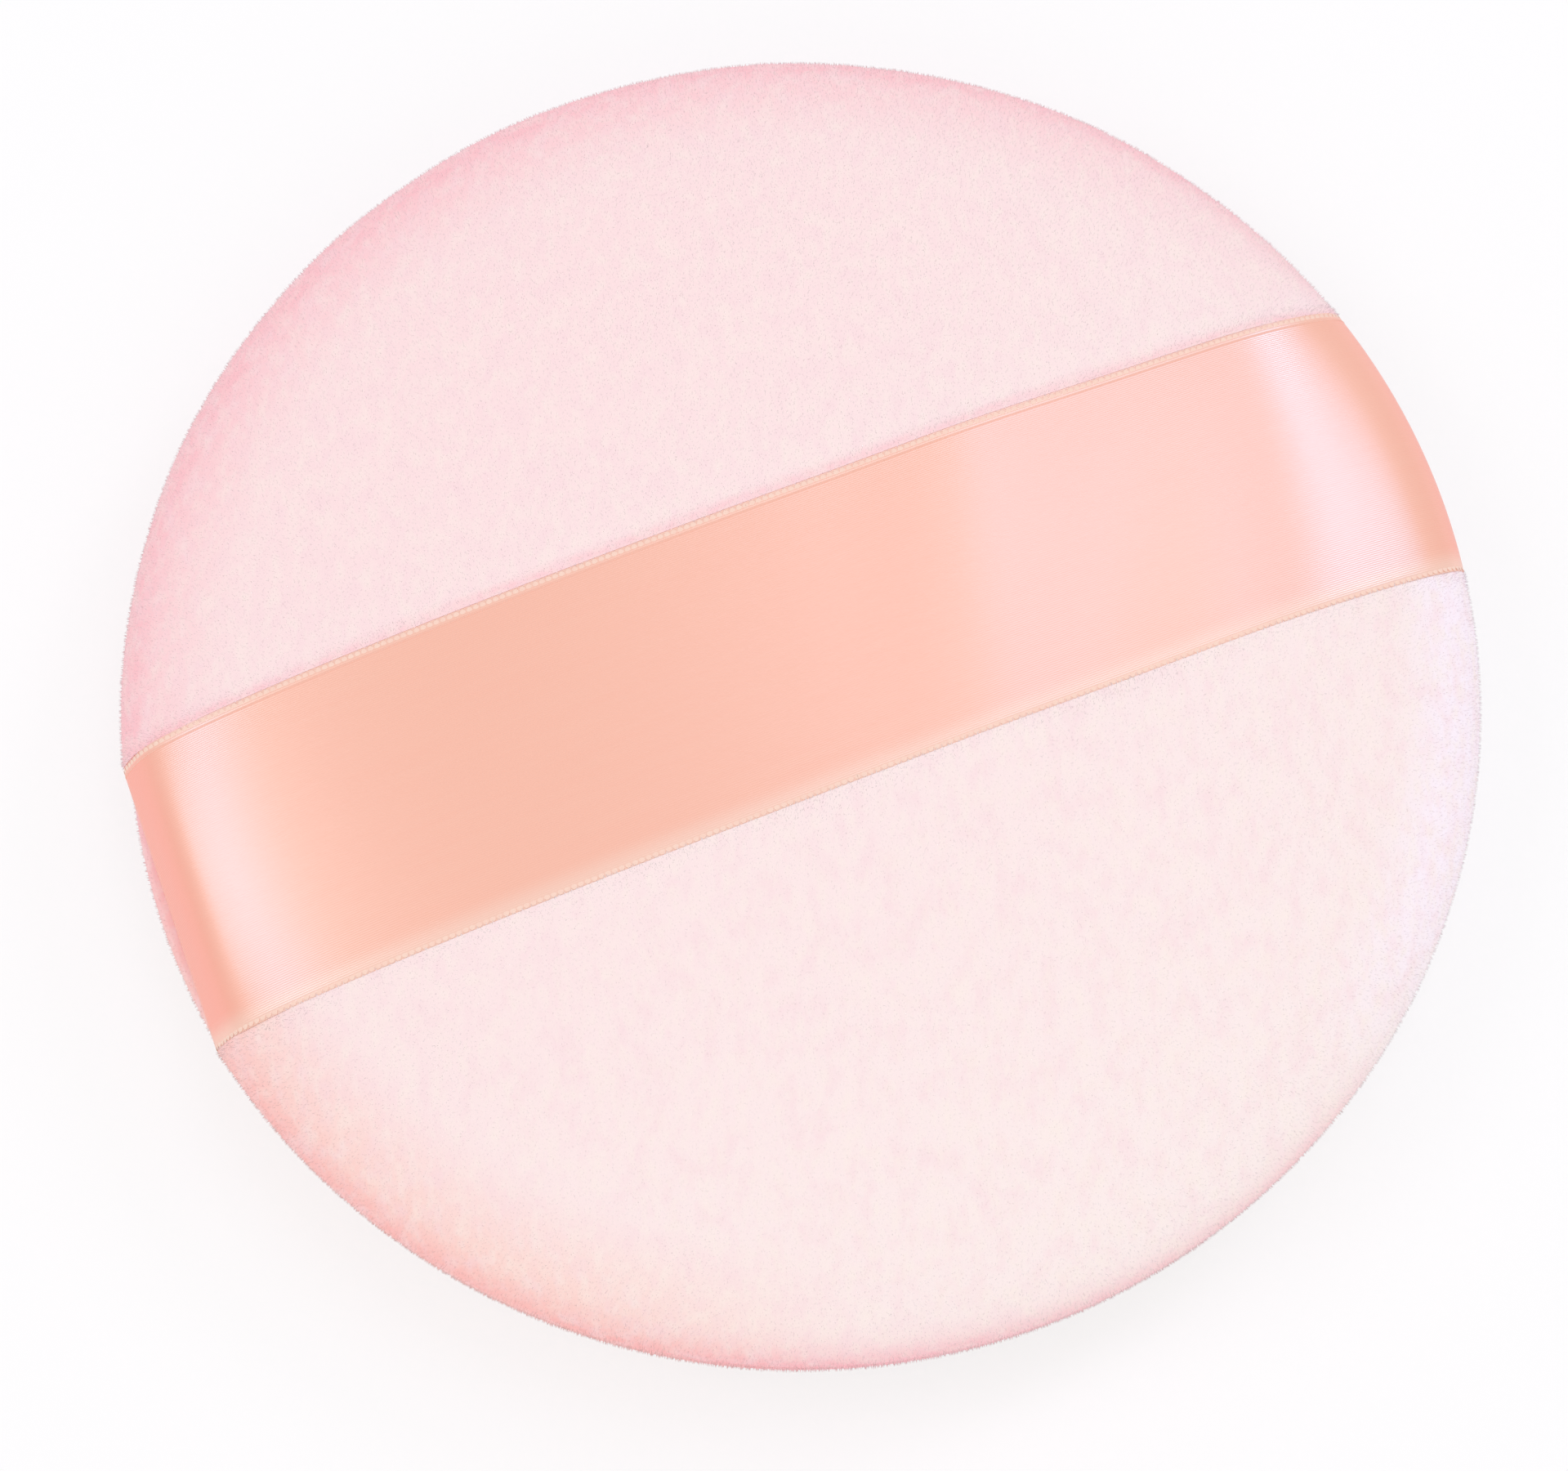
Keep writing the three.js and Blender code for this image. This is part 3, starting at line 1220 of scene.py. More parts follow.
    def meet(self, places: np.ndarray) -> np.ndarray:
        """Moves that bring the velour level with the ribbon's face along both of its edges.

        Args:
            places: Points of the upper cover.

        Returns:
            Heights to add, nothing under the ribbon or far from it.
        """
        half = self.sizes.ribbon_half_width
        away = self.sizes.past_ribbon(places)
        near = (away > sum(self.edge_cuts) / 2) & (away < self.meet_reaches * self.meet_reach)
        moves = np.zeros(len(places))
        for end in End:
            path = RibbonPath(self.sizes, end)
            for side in (half, -half):
                chosen = near & (places[:, 0] * end.value >= 0) & (places[:, 1] * side > 0)
                line = path.line(side)
                out = places[chosen, 0] * end.value
                face = np.interp(out, *line[: line[:, 0].argmax()].T) + self.meet_height
                share = np.exp(-((away[chosen] / self.meet_reach) ** 2))
                share *= 1.0 - smoothstep(out / self.sizes.ribbon_fold_x, *self.meet_fade)
                moves[chosen] = share * (face - places[chosen, 2])
        return moves


def ring_point(ring: int, step: int) -> int:
    """Number of a point of a disc whose ring k has 6k points around one middle point."""
    return 1 + 3 * ring * (ring - 1) + step % (6 * ring) if ring else 0


def ring_triangles(rings: int) -> Corners:
    """Triangles of such a disc.

    Args:
        rings: How many rings the disc has.

    Returns:
        The triangles' corners, turning to face up.
    """
    faces: Corners = []
    for ring in range(1, rings + 1):
        for sector in range(6):
            for step in range(ring):
                outer, inner = sector * ring + step, sector * (ring - 1) + step
                here, after = ring_point(ring, outer), ring_point(ring, outer + 1)
                within = ring_point(ring - 1, inner)
                faces.append((here, after, within))
                if step < ring - 1:
                    faces.append((within, after, ring_point(ring - 1, inner + 1)))
    return faces


def ring_places(rings: int) -> tuple[np.ndarray, np.ndarray]:
    """Places of such a disc's points, the middle point first.

    Args:
        rings: How many rings the disc has.

    Returns:
        Ring number and angle of each point.
    """
    ring = np.repeat(np.arange(1, rings + 1), 6 * np.arange(1, rings + 1))
    step = np.concatenate([np.arange(6 * k) for k in range(1, rings + 1)])
    return np.append(0, ring), np.append(0.0, FULL_TURN * step / (6 * ring))


def ring_value(values: np.ndarray, ring: np.ndarray, angle: np.ndarray) -> np.ndarray:
    """Reads values of such a disc at other angles.

    Args:
        values: One row for each point of the disc.
        ring: Ring to read for each place.
        angle: Angle to read for each place.

    Returns:
        Values between the two nearest points of the ring.
    """
    count = np.maximum(6 * ring, 1)
    first = np.where(ring > 0, 1 + 3 * ring * (ring - 1), 0)
    place = angle / FULL_TURN * count
    low = np.floor(place).astype(int)
    part = (place - low)[:, None]
    return (1 - part) * values[first + low % count] + part * values[first + (low + 1) % count]


@dataclass(frozen=True)
class SwellCloth:
    """Cloth that a cover swells as, under the modifier's own names for its settings."""

    quality: int = 6
    mass: float = 0.3
    tension_stiffness: float = 12.0
    compression_stiffness: float = 12.0
    bending_stiffness: float = 0.4
    use_pressure: bool = True
    uniform_pressure_force: float = 4.0
    vertex_group_mass: str = "sewn"


@dataclass
class VelourFace:
    """One velour cover of the pad: its cloth and the surface that its pile grows from."""

    sizes: PadSizes
    face: Face
    cloth_inset: float = 0.12 * MM
    seam_inset: float = 0.04 * MM
    seam_touch: float = 0.01 * MM
    seam_reach: Span = (0.9 * MM, 1.6 * MM)
    seam_past_ribbon: Span = (0.02 * MM, 0.3 * MM)
    fold_power: float = 3.0
    crown_points: int = 160
    fold_points: int = 24
    rings: int = 108
    clump_depth: float = 0.05 * MM
    clump_scale: float = 700.0
    billow_depth: float = 0.12 * MM
    billow_scale: float = 110.0
    loose_folds: float = 3.0
    cloth_rings: int = 24
    sewn_share: float = 1.6
    swell_frames: int = 20
    swell_cap: float = 0.3 * MM
    swell_smoothing: int = 12
    wall_steps: int = 8
    inner_nap: float = 0.5

    def section(self) -> np.ndarray:
        """Outer section from the axis over the rim and in along the seam allowance.

        Returns:
            Rows of radius and height over the seam plane, for a face that bulges up.
        """
        sizes = self.sizes
        rim = sizes.rim_radius - self.cloth_inset
        rise = sizes.rise(self.face) - self.cloth_inset
        angles = np.linspace(0.0, QUARTER_TURN, self.crown_points)
        radius = rim * np.sin(angles) ** (2 / sizes.crown_power)
        height = rise * np.clip(np.cos(angles), 0.0, 1.0) ** (2 / sizes.crown_power)
        height = sizes.rested(self.face, height, rise)
        crown = np.stack([radius, height + sizes.fold_base], axis=1)
        fold = sizes.seam_fold - self.seam_inset
        turn = np.linspace(0.0, QUARTER_TURN, self.fold_points)[1:]
        bend = np.clip(np.stack([np.cos(turn), np.sin(turn)], axis=1), 0.0, 1.0) ** (2 / self.fold_power)
        edge = np.array([rim - fold, sizes.fold_base]) + fold * bend * np.array([1.0, -1.0])
        allowance = np.array([[sizes.cut_edge_radius, edge[-1, 1]]])
        return np.concatenate([crown, edge, allowance])

    def disc(self, rings: int) -> tuple[np.ndarray, Corners]:
        """Disc of triangles laid along the section.

        Args:
            rings: How many rings of points it has.

        Returns:
            Points in the frame and the triangles' corners.
        """
        line = even_steps(self.section(), rings)
        ring, angle = ring_places(rings)
        radius = line[ring, 0]
        height = self.sizes.seam_z + self.face.value * line[ring, 1]
        placed = np.stack([radius * np.cos(angle), radius * np.sin(angle), height], axis=1)
        faces = ring_triangles(rings)
        return placed, faces if self.face is Face.UPPER else [face[::-1] for face in faces]

    def surface(self) -> bpy.types.Object:
        """Smooth outer surface with its gentle billows and clumps.

        Returns:
            An open surface object, with the spread of its colours stored on its points.
        """
        places, faces = self.disc(self.rings)
        places = places + self.swell(faces)
        surface = link_mesh(f"{self.face.label}_velour_surface", places, faces)
        mesh = surface.data
        relief = self.billow_depth * layered_noise(places, self.billow_scale, 1)
        relief += self.clump_depth * layered_noise(places, self.clump_scale, 2)
        places = places + normals_of(mesh) * (relief * self.loose_share(places))[:, None]
        if self.face is Face.UPPER:
            move_points(mesh, places)
            places = RibbonSeat(self.sizes).seated(mesh)
        else:
            places[:, 2] = np.maximum(places[:, 2], self.sizes.rest_z + self.cloth_inset)
        places[:, 2] += self.close_seam(places)
        move_points(mesh, places)
        NapLook(self.sizes, self.face).store(mesh)
        shade_smooth(mesh)
        return surface

    def swell(self, faces: Corners) -> np.ndarray:
        """Moves of the fine disc's points that follow the swollen cloth.

        Args:
            faces: The fine disc's triangles.

        Returns:
            One move for each point of the fine disc.
        """
        moves = self.inflate()
        ring, angle = ring_places(self.rings)
        coarse = ring / self.rings * self.cloth_rings
        low = np.floor(coarse).astype(int)
        part = (coarse - low)[:, None]
        high = np.minimum(low + 1, self.cloth_rings)
        spread = (1 - part) * ring_value(moves, low, angle) + part * ring_value(moves, high, angle)
        pairs = np.array(faces)[:, [0, 1, 1, 2, 2, 0]].reshape(-1, 2)
        shared = np.bincount(pairs[:, 0], minlength=len(spread))[:, None]
        for _ in range(self.swell_smoothing):
            gathered = np.zeros_like(spread)
            np.add.at(gathered, pairs[:, 0], spread[pairs[:, 1]])
            spread = 0.5 * spread + 0.5 * gathered / shared
        return spread

    def inflate(self) -> np.ndarray:
        """Swells a coarse copy of the cover over its filling with a cloth simulation.

        Returns:
            One capped move for each point of the coarse disc.
        """
        start, faces = self.disc(self.cloth_rings)
        coarse = link_mesh(f"{self.face.label}_cloth", start, faces)
        settings = SwellCloth()
        sewn = np.abs(start[:, 2] - self.sizes.seam_z) < self.sewn_share * self.sizes.fold_base
        group = coarse.vertex_groups.new(name=settings.vertex_group_mass)
        group.add(np.flatnonzero(sewn).tolist(), 1.0, "REPLACE")
        cloth = coarse.modifiers.new("swell", "CLOTH")
        for key, value in asdict(settings).items():
            setattr(cloth.settings, key, value)
        cloth.settings.effector_weights.gravity = 0.0
        cloth.point_cache.frame_start, cloth.point_cache.frame_end = 1, self.swell_frames
        scene = bpy.context.scene
        for frame in range(1, self.swell_frames + 1):
            scene.frame_set(frame)
        swollen = baked_copy(coarse, f"{self.face.label}_swollen")
        move = points_of(swollen.data) - start
        bpy.data.meshes.remove(swollen.data)
        scene.frame_set(1)
        far = np.linalg.norm(move, axis=1)
        LOG.info("%s cloth: mean move %.2f mm, most %.2f mm", self.face.label, far.mean() / MM, far.max() / MM)
        return move * np.minimum(1.0, self.swell_cap / np.maximum(far, TINY))[:, None]

    def loose_share(self, places: np.ndarray) -> np.ndarray:
        """How freely each point may billow.

        Args:
            places: Points of the cover.

        Returns:
            1 on the crown, 0 in the seam.
        """
        radius = np.hypot(places[:, 0], places[:, 1])
        height = np.abs(places[:, 2] - self.sizes.seam_z)
        on_top = smoothstep(height, self.sizes.seam_fold, self.loose_folds * self.sizes.seam_fold)
        return np.where(radius > self.sizes.cut_edge_radius, on_top, 1.0)

    def close_seam(self, places: np.ndarray) -> np.ndarray:
        """Moves that bring the turned edges of both covers together at the rim.

        Args:
            places: Points of the cover.

        Returns:
            Heights to add, nothing at the ribbon's ends.
        """
        sizes = self.sizes
        open_height = sizes.seam_gap / 2 + self.seam_inset
        above = self.face.value * (places[:, 2] - sizes.seam_z)
        from_rim = sizes.rim_radius - np.hypot(places[:, 0], places[:, 1])
        share = 1.0 - smoothstep(from_rim, *self.seam_reach)
        share *= 1.0 - smoothstep(above, open_height, sizes.fold_base)
        share *= smoothstep(sizes.past_ribbon(places), *self.seam_past_ribbon)
        return -self.face.value * (open_height - self.seam_touch) * share

    def closed_cloth(self, surface: bpy.types.Object) -> bpy.types.Object:
        """Closes the outer surface with the cover's inner wall.

        Args:
            surface: The open outer surface; it is kept for the pile.

        Returns:
            The cover as one closed piece.
        """
        cover = link_object(f"{self.face.label}_velour", surface.data.copy())
        shell = bmesh.new()
        shell.from_mesh(cover.data)
        nap = shell.verts.layers.float.get("nap")
        loop = [vertex for vertex in shell.verts if vertex.is_boundary]
        loop.sort(key=lambda vertex: math.atan2(vertex.co.y, vertex.co.x))
        angles = [math.atan2(vertex.co.y, vertex.co.x) for vertex in loop]
        for radius, height in self.wall_section():
            ring = [shell.verts.new((radius * math.cos(a), radius * math.sin(a), height)) for a in angles]
            for k, made in enumerate(ring):
                made[nap] = self.inner_nap
                shell.faces.new((loop[k - 1], loop[k], made, ring[k - 1]))
            loop = ring
        shell.faces.new(loop)
        finish_shell(shell, cover.data)
        return cover

    def wall_section(self) -> list[Span]:
        """Section of the inner wall, from the allowance's cut edge towards the middle.

        Returns:
            Radii and heights.
        """
        sizes = self.sizes
        base = sizes.seam_z + self.face.value * sizes.fold_base
        rim = sizes.rim_radius - sizes.velour_thickness
        rise = sizes.rise(self.face) - sizes.velour_thickness
        radius = rim * np.cos(QUARTER_TURN * np.arange(1, self.wall_steps) / self.wall_steps)
        height = sizes.rested(self.face, sizes.crown_height(radius, rim, rise), rise)
        crown = zip(radius.tolist(), (base + self.face.value * height).tolist())
        return [(sizes.cut_edge_radius, base), (rim, base), *crown]

    def build(self, velour: VelourFinish) -> tuple[bpy.types.Object, bpy.types.Object]:
        """Makes and dresses the cover.

        Args:
            velour: Its finish.

        Returns:
            The cover, and the open surface for the pile.
        """
        surface = self.surface()
        cover = self.closed_cloth(surface)
        velour.put_on(cover)
        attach(cover, PAD_BODY)
        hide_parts(f"{self.face.label}_cover")
        return cover, surface


@dataclass
class VelourPile:
    """Short pile of one velour face, grown by a node tree in two zones."""

    sizes: PadSizes
    face: Face
    zone: PileZone
    upper_tufts_per_mm2: float = 17.0
    lower_tufts_per_mm2: float = 14.0
    zone_radius: float = 32.0 * MM
    length: float = 0.20 * MM
    length_spread: Span = (0.7, 1.1)
    thickness: float = 0.032 * MM
    lean: float = 0.45
    sweep_scale: float = 130.0
    sweep_detail: float = 2.0
    sweep_share: float = 2.0
    ruffle: float = 0.5
    under_edge: Span = (0.003 * MM, 0.007 * MM)
    pressed_share: float = 0.30
    pressed_density: float = 0.15
    beside_edge: Span = (0.4 * MM, 1.1 * MM)
    beside_extra: float = 0.25
    beside_crowd: float = 1.5
    seam_clear: float = 0.02 * MM
    seam_side: float = 0.2 * MM
    map_slant: float = 0.3
    map_radii: float = 2.4
    scatter_seed: int = 11
    tone_seed: int = 3
    length_seed: int = 5
    ruffle_seed: int = 7

    def mark(self, mesh: bpy.types.Mesh) -> None:
        """Stores where tufts grow, and how long, on a surface's points.

        Args:
            mesh: Mesh of the face's open outer surface.
        """
        places = points_of(mesh)
        inside = np.hypot(places[:, 0], places[:, 1]) < self.zone_radius
        grows = inside if self.zone is PileZone.CROWN else ~inside
        height = np.abs(places[:, 2] - self.sizes.seam_z)
        density = grows * smoothstep(height, self.sizes.seam_gap / 2, self.sizes.seam_gap)
        length = np.full(len(places), 1.0)
        if self.face is Face.UPPER:
            limit = self.sizes.ribbon_half_width
            across = np.abs(places[:, 1])
            under = 1.0 - smoothstep(across, limit + self.under_edge[0], limit + self.under_edge[1])
            apart = smoothstep(across, limit + self.beside_edge[0], limit + self.beside_edge[1])
            beside = (1.0 - under) * (1.0 - apart)
            length = 1.0 - (1.0 - self.pressed_share) * under + self.beside_extra * beside
            density = density * (1.0 - (1.0 - self.pressed_density) * under)
            density = density * (1.0 + self.beside_crowd * beside)
        set_point_values(mesh, pile_density=density, pile_length=length)

    def tree(self, velour: VelourFinish) -> Growth:
        """Builds the node tree that grows the tufts.

        Args:
            velour: Finish of the tufts.

        Returns:
            The tree.
        """
        name = f"{self.face.label}_{self.zone.label}_pile"
        growth = Growth(name, Density="Float", Length="Float", Lean="Float")
        inputs = growth.inputs
        crowd = growth.math("MULTIPLY", growth.value("pile_density"), inputs["Density"])
        feeds = {"Mesh": inputs["Geometry"], "Density": crowd, "Seed": self.scatter_seed}
        scatter = growth.add("GeometryNodeDistributePointsOnFaces", feeds, distribute_method="RANDOM")
        tone = growth.random(0.0, 1.0, self.tone_seed)
        feeds = {"Geometry": scatter.outputs["Points"], "Name": "tone", "Value": tone}
        toned = growth.add("GeometryNodeStoreNamedAttribute", feeds, data_type="FLOAT", domain="POINT")
        height = growth.math("MULTIPLY", growth.value("pile_length"), inputs["Length"])
        height = growth.math("MULTIPLY", height, growth.random(*self.length_spread, self.length_seed))
        size = growth.add("ShaderNodeCombineXYZ", {"X": self.thickness, "Y": self.thickness, "Z": height})
        feeds = {
            "Points": toned.outputs["Geometry"],
            "Instance": self.tuft(growth),
            "Rotation": self.rotation(growth, scatter.outputs["Normal"]),
            "Scale": size.outputs[0],
        }
        tufts = growth.add("GeometryNodeInstanceOnPoints", feeds).outputs[0]
        return growth.end(growth.dressed(tufts, velour))

    @staticmethod
    def tuft(growth: Growth) -> Socket:
        """Three-sided tuft of unit height and unit radius."""
        feeds = {"Vertices": 3, "Radius Top": 0.0, "Radius Bottom": 1.0, "Depth": 1.0}
        return growth.add("GeometryNodeMeshCone", feeds, fill_type="NONE").outputs["Mesh"]

    def rotation(self, growth: Growth, normal: Socket) -> Socket:
        """Direction of each tuft: along the normal, swept by a slow field and ruffled.

        Args:
            growth: Where the nodes go.
            normal: Socket with the surface's normal at each tuft.

        Returns:
            The rotation's socket.
        """
        place = growth.add("GeometryNodeInputPosition").outputs[0]
        feeds = {"Vector": place, "Scale": self.sweep_scale, "Detail": self.sweep_detail}
        sweep = growth.add("ShaderNodeTexNoise", feeds).outputs["Color"]
        field = growth.vector_math("SUBTRACT", sweep, (0.5, 0.5, 0.5))
        ruffle = growth.random((-self.ruffle,) * 3, (self.ruffle,) * 3, self.ruffle_seed)
        swept = growth.vector_math("ADD", growth.scaled(field, self.sweep_share), ruffle)
        aim = growth.vector_math("ADD", normal, growth.scaled(swept, growth.inputs["Lean"]))
        return growth.add("FunctionNodeAlignRotationToVector", {"Vector": aim}, axis="Z").outputs[0]

    def grow(self, surface: bpy.types.Object, velour: VelourFinish) -> bpy.types.Object:
        """Grows the pile of this zone as one plain mesh piece.

        Args:
            surface: Open outer surface of the face.
            velour: Finish of the tufts.

        Returns:
            The pile.
        """
        self.mark(surface.data)
        name = f"{self.face.label}_pile_{self.zone.label}"
        ground = link_object(name, surface.data.copy())
        tufts = self.upper_tufts_per_mm2 if self.face is Face.UPPER else self.lower_tufts_per_mm2
        values = {"Density": tufts / MM**2, "Length": self.length, "Lean": self.lean}
        pile = self.tree(velour).grow(ground, name, values)
        self.soften(pile.data)
        pile.visible_shadow = pile.visible_diffuse = False
        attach(pile, PAD_BODY)
        return pile

    def soften(self, mesh: bpy.types.Mesh) -> None:
        """Presses the tufts flat on the floor and in the seam, and gives them a flat bake map.

        Args:
            mesh: Mesh of the grown pile.
        """
        sizes = self.sizes
        places = points_of(mesh)
        by_ribbon = np.abs(places[:, 1]) < sizes.ribbon_half_width + self.seam_side
        gap = np.where(by_ribbon, sizes.seam_gap / 2 + self.seam_clear, self.seam_clear)
        above = self.face.value * (places[:, 2] - sizes.seam_z)
        places[:, 2] = sizes.seam_z + self.face.value * np.maximum(above, gap)
        places[:, 2] = np.maximum(places[:, 2], sizes.rest_z)
        move_points(mesh, places)
        shade_smooth(mesh)
        flat = places[:, :2] + self.map_slant * places[:, 2:]
        set_uv(mesh, BAKE_MAP, flat / (self.map_radii * sizes.rim_radius) + 0.5)


@dataclass
class FoamCore:
    """Foam disc inside the covers."""

    sizes: PadSizes
    segments: int = 120
    rings: int = 26
    section_points: int = 60
    pit_depth: float = 0.12 * MM
    pit_scale: float = 900.0

    def section(self) -> np.ndarray:
        """Half section of the foam, from its bottom centre round to its top centre.

        Returns:
            Rows of radius and height in the frame.
        """
        sizes = self.sizes
        inset = sizes.velour_thickness + sizes.seam_gap
        radius = np.linspace(0.0, sizes.foam_radius, self.section_points)
        line = []
        for face in (Face.LOWER, Face.UPPER):
            rise = sizes.rise(face) - inset
            height = sizes.crown_height(radius, sizes.rim_radius - inset, rise)
            height = sizes.rested(face, height, rise) + sizes.fold_base
            rows = np.stack([radius, sizes.seam_z + face.value * height], axis=1)
            line.append(rows if face is Face.LOWER else rows[::-1])
        return even_steps(np.concatenate(line), 2 * self.rings)

    def disc(self) -> tuple[np.ndarray, Corners]:
        """Turns the section round the axis.

        Returns:
            Points and corner numbers, with the faces turned out.
        """
        line = self.section()
        angle = FULL_TURN * np.arange(self.segments) / self.segments
        way = np.stack([np.cos(angle), np.sin(angle), np.ones(self.segments)], axis=1)
        rings = way[None] * line[1:-1][:, None, [0, 0, 1]]
        bottom, top = (0.0, 0.0, line[0, 1]), (0.0, 0.0, line[-1, 1])
        points = np.concatenate([[bottom], rings.reshape(-1, 3), [top]])
        numbers = 1 + np.arange(len(points) - 2).reshape(-1, self.segments)
        numbers = np.append(numbers, numbers[:, :1], axis=1)
        faces = grid_quads(numbers.T)
        first, last = numbers[0].tolist(), numbers[-1].tolist()
        faces += [(0, after, here) for here, after in zip(first, first[1:])]
        faces += [(here, after, len(points) - 1) for here, after in zip(last, last[1:])]
        return points, faces

    def build(self, foam: FoamFinish) -> bpy.types.Object:
        """Makes and dresses the foam.

        Args:
            foam: Its finish.

        Returns:
            The foam piece.
        """
        core = link_mesh("foam_pad", *self.disc())
        places = points_of(core.data)
        pits = np.minimum(layered_noise(places, self.pit_scale, 1), 0.0)
        move_points(core.data, places + normals_of(core.data) * (self.pit_depth * pits)[:, None])
        shade_smooth(core.data)
        foam.put_on(core)
        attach(core, PAD_BODY)
        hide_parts("foam_core")
        return core


@dataclass(frozen=True)
class SatinTurn:
    """Painted highlight and painted shade of the satin at one end, by the angle in degrees that the ribbon has
    tipped over by.
    """

    gleams: tuple[tuple[float, float, float], ...]
    fold: Span
    gleam_fade: Span = (15.0, 24.0)

    def tones(self, tilt: np.ndarray) -> dict[str, np.ndarray]:
        """Works out the painted highlight and the painted shade.

        Args:
            tilt: Angle at each point.

        Returns:
            Painted highlight and painted shade at each point, from 0 to 1, by name.
        """
        lustre = sum(share * smoothstep(tilt, low, high) for share, low, high in self.gleams)
        lustre = lustre * (1.0 - smoothstep(tilt, *self.gleam_fade))
        return {"lustre": lustre, "fold": smoothstep(tilt, *self.fold)}


# painted highlight bands and painted shade on the turned-down ends, by tilt in degrees
SATIN_TURNS = {
    End.LEFT: SatinTurn(gleams=((0.46, 9.0, 15.0),), fold=(11.0, 58.0)),
    End.RIGHT: SatinTurn(gleams=((0.22, 0.5, 4.5), (0.36, 8.0, 13.0)), fold=(17.0, 68.0)),
}


@dataclass
class RibbonStrap:
    """One half of the satin ribbon, from the middle of the crown to its sewn end, with its woven edges."""

    sizes: PadSizes
    end: End
    steps: int = 170
    across: int = 40
    edge_crowding: float = 1.7
    edge_taper: float = 0.2
    taper_reach: float = 0.35 * MM
    low_hem_share: float = 0.7
    low_hem_span: Span = (1.7 * MM, 0.2 * MM)
    high_hem_share: float = 0.6
    high_hem_reach: float = 0.25 * MM
    bead_inset: float = 0.28 * MM
    low_bead_inset: float = 0.215 * MM
    bead_pitch: float = 0.45 * MM
    bead_slant: float = 0.35
    bead: Place = (0.41 * MM, 0.42 * MM, 0.045 * MM)
    bead_segments: int = 8
    bead_rings: int = 4
    cord_inset: float = 0.62 * MM
    cord_radius: float = 0.05 * MM
    cord_sink: float = 0.45

    def columns(self) -> np.ndarray:
        """Spreads the columns across the ribbon, closer together at its edges.

        Returns:
            Distance of each column from the ribbon's middle line.
        """
        share = np.linspace(-1.0, 1.0, self.across + 1)
        crowded = 1.0 - (1.0 - np.abs(share)) ** self.edge_crowding
        return self.sizes.ribbon_half_width * np.sign(share) * crowded

    def lines(self) -> np.ndarray:
        """Distances out and heights of the ribbon's back, for each column and step."""
        path = RibbonPath(self.sizes, self.end)
        return np.stack([path.line(side, self.steps) for side in self.columns()])

    def length(self) -> float:
        """Length of this half along its middle line."""
        return line_length(self.lines()[self.across // 2])

    def tilt(self) -> np.ndarray:
        """Angle in degrees that the ribbon has tipped over by, for each step and column."""
        step = np.gradient(self.lines(), axis=1)
        return np.degrees(np.arctan2(-step[..., 1], step[..., 0])).T

    def grid(self, lift: float) -> np.ndarray:
        """Points of one face of the ribbon.

        Args:
            lift: Distance from the ribbon's back, along its normal.

        Returns:
            Array of steps by columns by three.
        """
        lines = self.lines()
        tangent = np.gradient(lines, axis=1)
        tangent /= np.linalg.norm(tangent, axis=2)[..., None]
        half = self.sizes.ribbon_half_width
        thin = 1.0 - self.edge_taper * smoothstep(np.abs(self.columns()), half - self.taper_reach, half)
        raised = lines + lift * thin[:, None, None] * np.stack([-tangent[..., 1], tangent[..., 0]], axis=2)
        points = np.empty((self.steps + 1, self.across + 1, 3))
        points[..., 0] = self.end.value * raised[..., 0].T
        points[..., 1] = self.columns()[None, :]
        points[..., 2] = raised[..., 1].T
        return points

    def band(self, satin: SatinFinish) -> bpy.types.Object:
        """Makes the ribbon as a closed thin strip with a weave map.

        Args:
            satin: Finish of the face.

        Returns:
            The ribbon half.
        """
        points = np.stack([self.grid(self.sizes.ribbon_thickness), self.grid(0.0)])
        face, back = np.arange(points.size // 3).reshape(points.shape[:3])
        quads = grid_quads(face) + grid_quads(back.T)
        for k in (0, -1):
            quads += grid_quads(np.stack([face[:, k], back[:, k]]))
            quads += grid_quads(np.stack([face[k], back[k]], axis=1))
        ribbon = link_mesh(f"ribbon_{self.end.label}", points.reshape(-1, 3), quads)
        strip = bmesh.new()
        strip.from_mesh(ribbon.data)
        finish_shell(strip, ribbon.data)
        self.map_tones(ribbon.data)
        satin.put_on(ribbon)
        return ribbon

    def map_tones(self, mesh: bpy.types.Mesh) -> None:
        """Maps the weave, and stores the painted highlight, the painted shade and the cream hem along and
        across the strip.

        Args:
            mesh: Mesh of the strip, with the points of its face before those of its back.
        """
        half = self.sizes.ribbon_half_width
        along = np.repeat(np.linspace(0.0, self.length(), self.steps + 1), self.across + 1)
        side = np.tile(self.columns(), self.steps + 1)
        set_uv(mesh, WEAVE_MAP, np.tile(np.stack([along, side], axis=1), (2, 1)))
        # painted highlight and painted shade from the ribbon's tilt
        tones = SATIN_TURNS[self.end].tones(self.tilt().reshape(-1))
        first, last = self.low_hem_span
        hem = self.low_hem_share * smoothstep(-side, half - first, half - last)
        edge = half - self.bead_inset
        hem += self.high_hem_share * smoothstep(side, edge - self.high_hem_reach, edge)
        tones["hem"] = hem
        set_point_values(mesh, **{name: np.tile(values, 2) for name, values in tones.items()})

